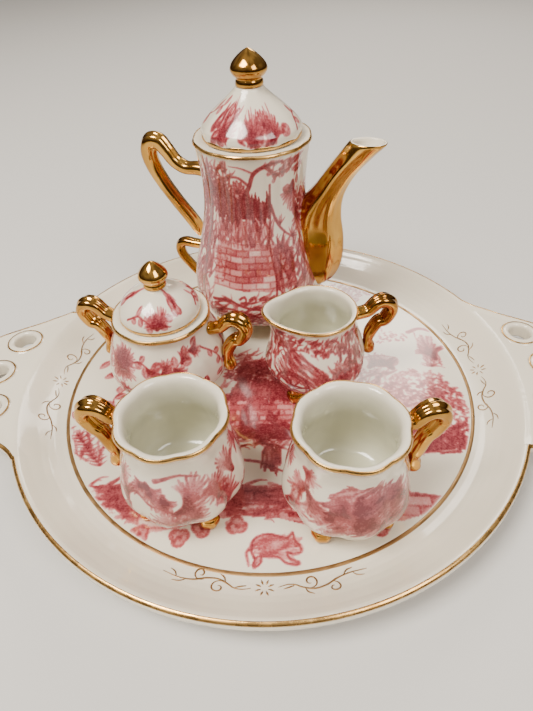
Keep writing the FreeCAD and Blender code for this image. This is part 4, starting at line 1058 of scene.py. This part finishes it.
def make_sugar():
    axis = axis_of("sugar")
    right = bearing("sugar_handle_right", axis)
    rim = top("sugar_body") - WELL
    belly, lip, base = 19.4, 15.4, 4.2
    outside = [
        (0.01, base, 0), (9, base, 0), (12.2, base + 0.1, 0.5), (14.6, base + 0.8, 0.9),
        (16.9, base + 2.2, 1), (0.965 * belly, 0.29 * rim, 1), (belly, 0.43 * rim, 1),
        (0.95 * belly, 0.62 * rim, 1), (1.05 * lip, 0.80 * rim, 0.8), (0.985 * lip, 0.90 * rim, 0.6),
        (0.995 * lip, rim - 0.9, 0.5), (lip, rim - 0.4, 0.5), (0.985 * lip, rim - 0.06, 0.4),
        (0.955 * lip, rim, 0.3)]
    inside = [
        (0.955 * lip, rim, 0.3), (11.6, rim - 0.12, 0), (10.75, rim - 0.4, 0), (10.6, rim - 1.0, 0),
        (10.6, rim - 2.1, 0), (11.2, rim - 2.5, 0), (13.5, rim - 2.7, 0), (14.0, rim - 4.5, 0.3),
        (14.6, 0.78 * rim, 0.6), (16.6, 0.62 * rim, 0.7), (17.5, 0.43 * rim, 0.7),
        (16.4, base + 4.0, 0.5), (12.0, base + 2.4, 0), (0.01, base + 2.4, 0)]
    grid = throw("sugar", "sugar", axis, right, outside, inside, 8, 0.32, paint_sugar())
    rim_line("sugar_rim_line", "sugar", grid[-4], 0.62, 0.17)
    for node, turn in (("sugar_handle_right", right), ("sugar_handle_left", right + math.pi)):
        strap(node, "sugar", axis, turn, scroll_spine(15.7, 26.2, 19.0, 13.9, 30.1, 33.4, 2.35), 0.22)
    feet("sugar", "sugar")
    edge = half_wide("sugar_lid")
    peak = top("sugar_lid") - WELL
    lid = [
        (0.01, rim + 7.2), (4.5, rim + 6.2), (7.6, rim + 3.4), (8.7, rim + 0.8), (8.7, rim - 3.9),
        (9.4, rim - 4.0), (10.15, rim - 3.8), (10.2, rim - 0.2), (10.8, rim + 0.04),
        (edge - 0.7, rim + 0.04), (edge - 0.22, rim + 0.3), (edge - 0.03, rim + 1.1),
        (edge - 0.1, rim + 2.2), (0.955 * edge, rim + 3.7), (0.84 * edge, rim + 5.6),
        (0.66 * edge, rim + 7.4), (0.46 * edge, rim + 8.8), (0.27 * edge, rim + 9.7),
        (0.2 * edge, peak - 0.02), (0.01, peak)]
    lathe("sugar_lid_porcelain", "sugar_lid", axis, lid, 0.30, GLAZE, "porcelain", ["sugar_lid"],
          columns=280, canvas=paint_sugar_lid(), printed=rim + 1.4)
    ring = level_ring(axis, edge - 0.08, WELL + rim + 0.95, 140)
    rim_line("sugar_lid_line", "sugar_lid", ring, 0.6, 0.17, 0.1)
    finial("sugar_finial", "sugar_lid", axis)


def make_creamer():
    axis = axis_of("creamer")
    turn = bearing("creamer_handle", axis)
    rim = 30.5
    belly, lip, base = 16.4, 12.9, 4.2
    outside = [
        (0.01, base, 0), (8, base, 0), (10.8, base + 0.1, 0.5), (12.9, base + 0.8, 0.9),
        (14.6, base + 2.4, 1), (0.97 * belly, 0.30 * rim, 1), (belly, 0.41 * rim, 1),
        (0.925 * belly, 0.59 * rim, 1), (1.03 * lip, 0.78 * rim, 0.7), (0.99 * lip, 0.90 * rim, 0.3),
        (lip, rim - 0.8, 0.1), (lip, rim - 0.35, 0.1), (0.98 * lip, rim - 0.05, 0.1),
        (0.955 * lip, rim, 0.1)]
    inside = [
        (0.955 * lip, rim, 0.1), (0.91 * lip, rim - 0.1, 0), (0.87 * lip, rim - 0.6, 0),
        (0.855 * lip, rim - 2.0, 0), (0.865 * lip, 0.80 * rim, 0.4), (13.0, 0.62 * rim, 0.6),
        (14.4, 0.41 * rim, 0.6), (13.4, base + 3.8, 0.4), (10.0, base + 2.4, 0), (0.01, base + 2.4, 0)]
    grid = throw("creamer", "creamer", axis, turn, outside, inside, 8, 0.30, paint_creamer(), 4.3, 1.4)
    rim_line("creamer_rim_line", "creamer", grid[-4], 0.55, 0.16)
    strap("creamer_handle", "creamer", axis, turn,
          scroll_spine(12.9, 26.5, 16.2, 13.7, 27.2, 33.1, 2.35), 0.22)
    feet("creamer", "creamer")


def make_cup(prefix, seed, dark):
    axis = axis_of(prefix)
    turn = bearing(f"{prefix}_handle", axis)
    rim = top(f"{prefix}_body") - WELL
    belly, neck, lip, base = 16.8, 13.5, 14.4, 4.2
    outside = [
        (0.01, base, 0), (7.5, base, 0), (10.6, base + 0.1, 0.7), (12.9, base + 0.9, 1.3),
        (14.8, base + 2.6, 1.5), (0.97 * belly, 0.265 * rim, 1.4), (belly, 0.38 * rim, 1.2),
        (0.93 * belly, 0.56 * rim, 1.0), (1.02 * neck, 0.74 * rim, 0.9), (1.0 * neck, 0.84 * rim, 1.0),
        (1.01 * neck, 0.91 * rim, 1.0), (0.985 * lip, rim - 1.5, 1.0), (lip, rim - 0.8, 1.0),
        (0.98 * lip, rim - 0.18, 0.9), (0.94 * lip, rim, 0.8)]
    inside = [
        (0.94 * lip, rim, 0.8), (0.895 * lip, rim - 0.16, 0.65), (0.845 * lip, rim - 0.9, 0.5),
        (0.815 * lip, rim - 2.4, 0.45), (11.5, 0.84 * rim, 0.45), (11.9, 0.74 * rim, 0.45),
        (13.7, 0.56 * rim, 0.5), (14.8, 0.38 * rim, 0.5), (13.9, base + 4.4, 0.3), (10.4, base + 2.4, 0),
        (0.01, base + 2.4, 0)]
    grid = throw(prefix, prefix, axis, turn, outside, inside, 8, 0.36, paint_cup(seed, dark))
    rim_line(f"{prefix}_rim_line", prefix, grid[-4], 0.55, 0.17)
    strap(f"{prefix}_handle", prefix, axis, turn,
          scroll_spine(13.5, 30.6, 16.6, 14.3, 26.5, 36.2, 2.35), 0.22)
    feet(prefix, prefix)


# ---------------------------------------------------------------- tray
RING = 68.0
CREST = 12.6
EAR = ((0, 109.2), (2.1, 109.1), (6.4, 107.6), (10.7, 103.0), (14.3, 96.8), (17.5, 91.6), (20, 88.6),
       (23, 85.4), (26, 83.8), (29.5, 83.5), (90, 83.5))
HOLES = tuple((side * along, across) for side in (1, -1)
              for along, across in ((93.5, 0.0), (89.5, 16.5), (89.5, -16.5)))


def edge_radius(angle):
    """How far out the tray's edge lies: round, with an ear each way along X."""
    fold = np.degrees(np.abs(np.angle(np.exp(1j * np.asarray(angle, float)))))
    fold = np.minimum(fold, 180 - fold)
    path = smooth([(angle, radius) for angle, radius in EAR], 0.25)
    return np.interp(fold, path[:, 0], path[:, 1])


def tray_level(radius):
    """The upper side of the tray's rim above the table, short of its lip."""
    return np.interp(radius, [0, 62, 66, 68, 70, 72, 74, 76, 78, 80, 81.3, 83, 120],
                     [5, 5, 5.0, 5.05, 5.3, 5.9, 6.85, 8.1, 9.6, 11.1, 12.0, 12.35, 12.35])


def paint_tray():
    canvas = Canvas(-69.0, -69.0, 138.0, 138.0, 0.33, False, 41)
    pig(canvas, 2.8, -61.6, 13.0, 0.85)
    canvas.bricks([(-52, -41), (-12, -38), (-9, -41), (13, -42), (36, -43), (50, -45), (49, -49), (37, -53),
                   (12, -50), (11, -54), (4, -52), (-8, -51), (-18, -53), (-30, -56), (-38, -53)],
                  3.1, 0.95, -0.04)
    for mark in (
            ([(-14, -42), (14, -42), (13, -47), (-14, -49)], 0.75, 0.0, 0.6, 0.45),
            ([(8, -46), (13, -46), (20, -54), (13, -55), (9, -51)], 0.9, 2.4, 0.5, 0.8),
            ([(-52, -41), (-36, -41), (-30, -52), (-38, -53)], 0.5, 0.3, 0.6, 0.3)):
        canvas.wash(*mark)
    for u, v in ((-34.5, -56.5), (-23.5, -57.5), (-17.5, -54.8), (-8.0, -54.0), (31, -54.5)):
        canvas.blossom(u, v, 3.0, 3, 0.8, u)
        canvas.bush(u, v, 2.6, 1.6, 0.7)
    canvas.bush(-45, -44, 5, 4, 0.55)
    cottage(canvas, -13, -20, 21, 0.95)
    canvas.bricks([(-20, -16), (16, -18), (18, -4), (-8, -2), (-20, -6)], 2.4, 0.85)
    canvas.wash([(-12, -24), (11, -25), (14, -20), (2, -17), (-11, -20)], 1.0, 0.4, 0.45, 0.8)
    canvas.tuft(-6, -22, 8, 12, 0.8, 0.2, 1.2)
    canvas.tuft(6, -23, 8, 12, 0.8, 2.9, 1.2)
    canvas.wash([(-2, -36), (4, -36), (4.5, -26), (-1.5, -27)], 0.85, 1.57, 0.5, 0.65)
    canvas.stroke([(-8, -32), (-2, -33), (4, -36), (9, -38)], 0.8, 0.7, 0.5)
    canvas.bush(-2, 7, 14, 7, 0.9, 1.2, 1.6)
    for mark in (
            ((-18, -2, 16, 16), 110, 3.4, 0.8, 0.6), ((-22, -27, 20, -17), 90, 4.0, 0.85, 0.2),
            ((-66, -32, -50, -12), 70, 3.6, 0.6, 1.9), ((-54, -52, -34, -40), 60, 3.4, 0.7, 0.3),
            ((-14, -52, 16, -40), 60, 3.2, 0.7, 0.1)):
        scrub(canvas, *mark)
    canvas.wash([(-10, 2), (2, 4), (5, 10), (-3, 14), (-11, 10)], 0.75, 0.6, 0.5, 0.45)
    for mark in (
            (51, -3, 12, 9, 0.9, 1.15, 2.0), (59, -13, 6.5, 13, 0.9, 1.15, 2.0),
            (46, -14, 9, 8, 0.75, 1.15, 1.6)):
        canvas.bush(*mark)
    scrub(canvas, (34, -30, 64, -20), 90, 4.0, 0.85, 0.5)
    scrub(canvas, (28, -12, 42, 6), 50, 3.4, 0.7, 1.0)
    for number in range(14):
        canvas.tuft(40 + 1.7 * number, -27 - 0.15 * number, 8.0, 3, 0.7, 1.9, 0.5)
    canvas.wash([(38, -26), (62, -24), (60, -30), (40, -31)], 0.75, 0.2, 0.6, 0.45)
    canvas.stroke([(53, 27), (58, 29), (64, 25), (65, 19), (61, 17)], 1.6, 0.6, 0.4)
    canvas.wash([(56, 9), (62, 9), (61, 24), (55, 25)], 0.6, 1.5, 0.6, 0.35)
    canvas.tuft(58, 8, 5.0, 7, 0.6, 1.5, 1.5)
    for mark in (
            (36, 8, 0.9, 8, 0.85), (44, 7, 2.0, 8, 0.85), (60, 12, 1.8, 10, 0.8), (-56, 6, 1.0, 9, 0.75),
            (24, 16, 0.4, 9, 0.8)):
        plume(canvas, *mark)
    for mark in (
            (37, 9, 0.3, 6.5, 0.85, 0.32), (43, 8, 1.0, 6.0, 0.85, 0.34), (44, 8, 2.3, 5.5, 0.8, 0.34)):
        canvas.leaf(*mark)
    canvas.stroke([(33, 13), (40, 14), (46, 13)], 0.7, 0.6, 0.3)
    canvas.bush(34, 4, 6, 5, 0.75, 1.1)
    for number in range(10):
        canvas.tuft(-61 + 1.1 * number, -22 - 1.3 * number, 3.4, 4, 0.6, 1.9, 1.1)
    canvas.leaf(-59, 4, 0.6, 6.0, 0.75, 0.26)
    canvas.leaf(-62, 9, 0.9, 6.0, 0.7, 0.24)
    canvas.spray([(-50, -14), (-53, -6), (-48, 2), (-52, 10)], 4.4, 0.8, 2.4)
    canvas.bush(-44, -8, 5, 6, 0.6, 1.1)
    canvas.spray([(-60, 24), (-50, 30), (-42, 28), (-34, 33)], 5.0, 0.75, 2.6)
    canvas.blossom(-44, 40, 5.5, 5, 0.8)
    canvas.spray([(-44, 40), (-36, 46), (-28, 55)], 5.0, 0.75)
    tree(canvas, 30, 20, 40, 0.8)
    canvas.bush(40, 24, 12, 4, 0.7, 1.2)
    cottage(canvas, 2, 46, 16, 0.75)
    canvas.bush(-14, 58, 12, 4, 0.7, 1.2)
    canvas.tuft(24, -44, 5, 6, 0.6)
    canvas.bush(19, -10, 4, 6, 0.6)
    canvas.spray([(22, 30), (28, 22), (26, 14)], 4.2, 0.7)
    return canvas


def make_tray():
    """A disc of square rings, a rim of round ones out to the edge, and the underside."""
    sides = 150
    steps = np.arange(1, sides + 1)
    ring_points, sizes = [], []
    for step in steps:
        around = np.arange(8 * step) / (8 * step) * 2 * math.pi
        radius = RING * step / sides
        ring_points.append(np.stack([radius * np.cos(around), radius * np.sin(around),
                                     tray_level(np.full(8 * step, radius))], 1))
        sizes.append(8 * step)
    columns = 8 * sides
    angle = circle(columns)
    edge = edge_radius(angle)
    rows = []
    for share in np.linspace(0, 1, 40)[1:] ** 0.9:
        radius = RING + share * (edge - 1.9 - RING)
        near = np.clip((radius - edge + 4.4) / 2.5, 0, 1)
        rows.append((radius, tray_level(radius) + (CREST - tray_level(edge)) * near))
    for inward, drop in ((1.3, -0.12), (0.75, 0.1), (0.32, 0.5), (0.08, 1.1), (0.0, 1.8), (0.22, 2.6),
                         (0.8, 3.2), (1.6, 3.45)):
        rows.append((edge - inward, np.full(columns, CREST - drop)))
    for share in np.linspace(0, 1, 18)[1:]:
        radius = edge - 1.6 + share * (54.0 - edge + 1.6)
        rows.append((radius, np.interp(radius, [54, 58, 66, 74, 79.5, 82, 83.5, 120],
                                       [2.0, 2.1, 2.7, 4.5, 6.9, 8.4, 9.15, 9.15])))
    for radius, level in ((53.6, 1.2), (53.3, 0.3), (52.6, 0.0), (51.2, 0.0), (50.6, 0.3), (50.3, 1.2),
                          (49.6, 1.9), (48.0, 2.0), (30.0, 2.0), (12.0, 2.0)):
        rows.append((np.full(columns, radius), np.full(columns, level)))
    rim = np.stack([np.stack([radius * np.cos(angle), radius * np.sin(angle), level], 1)
                    for radius, level in rows])
    points = np.vstack([[[0, 0, 5.0]]] + ring_points + [rim.reshape(-1, 3), [[0, 0, 2.0]]])
    last = len(points) - 1
    outer = 1 + sum(sizes[:-1])
    final = last - columns + np.arange(columns)
    faces = [disc_faces(sides), skin(len(rows) + 1, columns, offset=outer)[:, ::-1],
             fan(final, last, False)]
    canvas = paint_tray()
    radius = np.hypot(points[:, 0], points[:, 1])
    ink = canvas.at(points[:, 0], points[:, 1]) * np.clip((RING - 0.8 - radius) / 0.8, 0, 1)
    ink[outer + columns:] = 0
    plate = build("tray_porcelain", points, faces, "tray", "tray_porcelain", [GLAZE], ["tray"],
                  ink=ink, shade=np.zeros(len(points)))
    pierce(plate)


def disc_faces(sides):
    """Quads and triangles between square rings of 8, 16, 24 ... vertices round one middle."""
    faces = []
    start = 1
    for step in range(1, sides + 1):
        count, inner = 8 * step, 8 * (step - 1)
        before = start - inner if step > 1 else 0
        for corner in range(8):
            here = start + corner * step + np.arange(step + 1)
            here[-1] = start + (corner + 1) * step % count
            if step == 1:
                faces.append(np.array([[0, here[0], here[1]]]))
                continue
            there = before + corner * (step - 1) + np.arange(step)
            there[-1] = before + (corner + 1) * (step - 1) % inner
            faces.append(np.stack([here[:-1], here[1:], there], 1))
            faces.append(np.stack([there[:-1], here[1:-1], there[1:]], 1))
        start += count
    return np.vstack(faces)


def pierce(plate):
    """Cuts the six holes through the ears and sets a rolled collar with a gold line round each."""
    hole, line, sides = 3.7, 5.9, 64
    turn = circle(sides)
    parts = []
    for place in HOLES:
        rings = [level_ring(place, hole, level, sides) for level in (4.0, 20.0)]
        parts.append(closed_grid(np.stack(rings)))
    points, faces = gather(parts)
    cutter = build("hole_cutter", points, faces, "tray", "tray_porcelain", [GLAZE])
    cut = plate.modifiers.new("holes", "BOOLEAN")
    cut.object = cutter
    cut.solver = "EXACT"
    bpy.context.view_layer.update()
    pierced = bpy.data.meshes.new_from_object(plate.evaluated_get(bpy.context.evaluated_depsgraph_get()))
    plate.modifiers.clear()
    plate.data = pierced
    pierced.name = plate.name
    bpy.data.objects.remove(cutter)
    deck = float(tray_level(90.0))
    collar = smooth([(3.55, deck - 4.0), (3.6, deck - 1.5), (3.75, deck + 0.2), (4.3, deck + 0.85),
                     (5.0, deck + 0.9), (5.8, deck + 0.55), (6.5, deck + 0.1), (7.0, deck - 0.35),
                     (6.5, deck - 0.8), (4.6, deck - 3.9)], 0.3)
    porcelain, gilt = [], []
    for x, y in HOLES:
        grid = np.stack([x + collar[:, 0, None] * np.cos(turn), y + collar[:, 0, None] * np.sin(turn),
                         np.broadcast_to(collar[:, 1, None], (len(collar), sides))], axis=-1)
        count = len(collar) * sides
        porcelain.append((grid.reshape(-1, 3), [skin(len(collar) + 1, sides) % count]))
        gilt.append(ribbon(level_ring((x, y), line, deck + 0.5, sides), UP, 0.36, 0.12))
    points, faces = gather(porcelain)
    zeros = np.zeros(len(points))
    build("tray_collars", points, faces, "tray", "tray_porcelain", [GLAZE], ink=zeros, shade=zeros)
    gild("tray_collar_lines", gather(gilt), "tray", LINE)


def tray_lines():
    """The dull gold ring round the well and the bright line on the lip and the ears."""
    ring = level_ring((0, 0), RING, tray_level(RING) + 0.02, 720)
    gild("tray_well_line", ribbon(ring, UP, 0.62, 0.10), "tray", DULL)
    turn = circle(1440)
    edge = edge_radius(turn) - 0.72
    path = np.stack([edge * np.cos(turn), edge * np.sin(turn), np.full(1440, CREST - 0.05)], 1)
    outward = np.stack([np.cos(turn), np.sin(turn), np.full(1440, 1.6)], 1)
    gild("tray_lip_line", ribbon(path, outward, 0.62, 0.14), "tray", LINE)


def spiral(u0, v0, radius, start, turns, way):
    """A tendril that winds in to a small curl."""
    part = np.linspace(0, 1, 22)
    angle = start + way * turns * 2 * math.pi * part
    reach = radius * (1 - 0.78 * part)
    return np.stack([u0 + reach * np.cos(angle), v0 + reach * np.sin(angle)], 1)


def filigree():
    """Four gold sprigs on the rim: a daisy of dashes between two curling stems."""
    strokes = []
    for number in range(8):
        angle = 2 * math.pi * (number + 0.5) / 8
        strokes.append((np.array([[1.0 * math.cos(angle), 1.0 * math.sin(angle)],
                                  [1.7 * math.cos(angle), 1.7 * math.sin(angle)],
                                  [2.5 * math.cos(angle), 2.5 * math.sin(angle)]]), 0.30))
    for side in (1, -1):
        lines = [
            (smooth([(3.4, 0.1), (5.6, 0.7), (7.6, 0.5), (9.6, -0.6), (12.2, -1.5), (15.2, -1.1), (18.4, 0.2),
                     (22.0, 0.7), (26.5, 0.3)], 0.6), 0.30),
            (smooth([(4.6, -0.5), (6.2, -0.1), (7.4, 0.3)], 0.6), 0.24),
            (spiral(11.6, 0.9, 2.1, -2.2, 1.15, 1), 0.26),
            (spiral(17.0, -2.1, 1.9, 2.3, 1.15, -1), 0.26),
            (smooth([(10.0, -0.8), (10.6, -2.2), (11.9, -3.0)], 0.5), 0.24),
            (smooth([(20.0, 0.5), (21.4, 1.7), (23.2, 2.0)], 0.5), 0.22),
            (smooth([(22.6, 0.7), (23.6, -0.6), (25.2, -1.1)], 0.5), 0.20),
        ]
        strokes += [(np.column_stack([side * line[:, 0], side * line[:, 1]]), wide) for line, wide in lines]
    parts = []
    for middle, radius in ((-math.pi / 2, 71.6), (0.06, 73.0), (math.pi / 2, 72.4), (math.pi - 0.02, 73.4)):
        for line, wide in strokes:
            reach = radius - line[:, 1]
            around = middle + line[:, 0] / radius
            path = np.stack([reach * np.cos(around), reach * np.sin(around), tray_level(reach) + 0.03], 1)
            parts.append(ribbon(path, UP, wide, 0.07, closed=False, taper=True, sides=6))
    gild("tray_filigree", gather(parts), "tray", DULL)


# ---------------------------------------------------------------- stage
def stage():
    mesh = bpy.data.meshes.new("floor")
    mesh.from_pydata([(-3, -3, 0), (3, -3, 0), (3, 3, 0), (-3, 3, 0)], [], [(0, 1, 2, 3)])
    floor = bpy.data.objects.new("floor", mesh)
    bpy.context.scene.collection.objects.link(floor)
    material, tree, shader = new_material("floor")
    shader.inputs["Base Color"].default_value = (0.62, 0.61, 0.59, 1)
    shader.inputs["Roughness"].default_value = 0.85
    mesh.materials.append(material)
    world = bpy.data.worlds.new("studio")
    world.use_nodes = True
    tree = world.node_tree
    place = tree.nodes.new("ShaderNodeTexCoord")
    height = tree.nodes.new("ShaderNodeSeparateXYZ")
    tree.links.new(place.outputs["Generated"], height.inputs["Vector"])
    patches = add_node(tree, "ShaderNodeTexNoise", Scale=2.2, Detail=1.0)
    tree.links.new(place.outputs["Generated"], patches.inputs["Vector"])
    overhead = ranged(tree, height.outputs["Z"], 0.0, 1.0, 0.15, 0.95)
    dappled = ranged(tree, patches.outputs["Fac"], 0.35, 1.0, 0.42, 0.58)
    both = tree.nodes.new("ShaderNodeMath")
    both.operation = "MULTIPLY"
    tree.links.new(overhead, both.inputs[0])
    tree.links.new(dappled, both.inputs[1])
    tree.links.new(mixed(tree, both.outputs[0], (0.10, 0.065, 0.04, 1), (1.0, 0.93, 0.85, 1)),
                   tree.nodes["Background"].inputs["Color"])
    tree.nodes["Background"].inputs["Strength"].default_value = 0.62
    bpy.context.scene.world = world
    for name, place, size, power, colour in (
            ("key", (-0.36, -0.22, 0.80), 0.34, 12.0, (1.0, 0.94, 0.84)),
            ("fill", (0.45, -0.40, 0.68), 0.40, 5.0, (1.0, 0.94, 0.88)),
            ("back", (0.15, 0.70, 0.55), 0.30, 2.6, (1.0, 0.92, 0.82))):
        light = bpy.data.lights.new(name, "AREA")
        light.size = size
        light.energy = power
        light.color = colour
        lamp = bpy.data.objects.new(name, light)
        lamp.location = place
        lamp.rotation_euler = (Vector((0, 0, 0.02)) - Vector(place)).to_track_quat("-Z", "Y").to_euler()
        bpy.context.scene.collection.objects.link(lamp)


def set_camera():
    """Close and steep, from the front, with a small yaw and roll."""
    camera = bpy.data.cameras.new("camera")
    camera.sensor_fit = "VERTICAL"
    camera.sensor_height = 36.0
    camera.lens = 26.84
    camera.clip_start = 0.01
    eye = bpy.data.objects.new("camera", camera)
    eye.location = (6.14 * MM, -130.1 * MM, 136.57 * MM)
    yaw, pitch, roll = (math.radians(value) for value in (2.8, 42.16, -2.8))
    turn = (Vector((0, 0, 1)), yaw), (Vector((1, 0, 0)), math.pi / 2 - pitch), (Vector((0, 0, 1)), roll)
    matrix = Matrix.Identity(4)
    for way, amount in turn:
        matrix = matrix @ Matrix.Rotation(amount, 4, way)
    eye.matrix_world = Matrix.Translation(eye.location) @ matrix
    bpy.context.scene.collection.objects.link(eye)
    bpy.context.scene.camera = eye


make_tray()
tray_lines()
filigree()
make_pot()
make_sugar()
make_creamer()
make_cup("cup_1", 51, False)
make_cup("cup_2", 52, True)
stage()
set_camera()
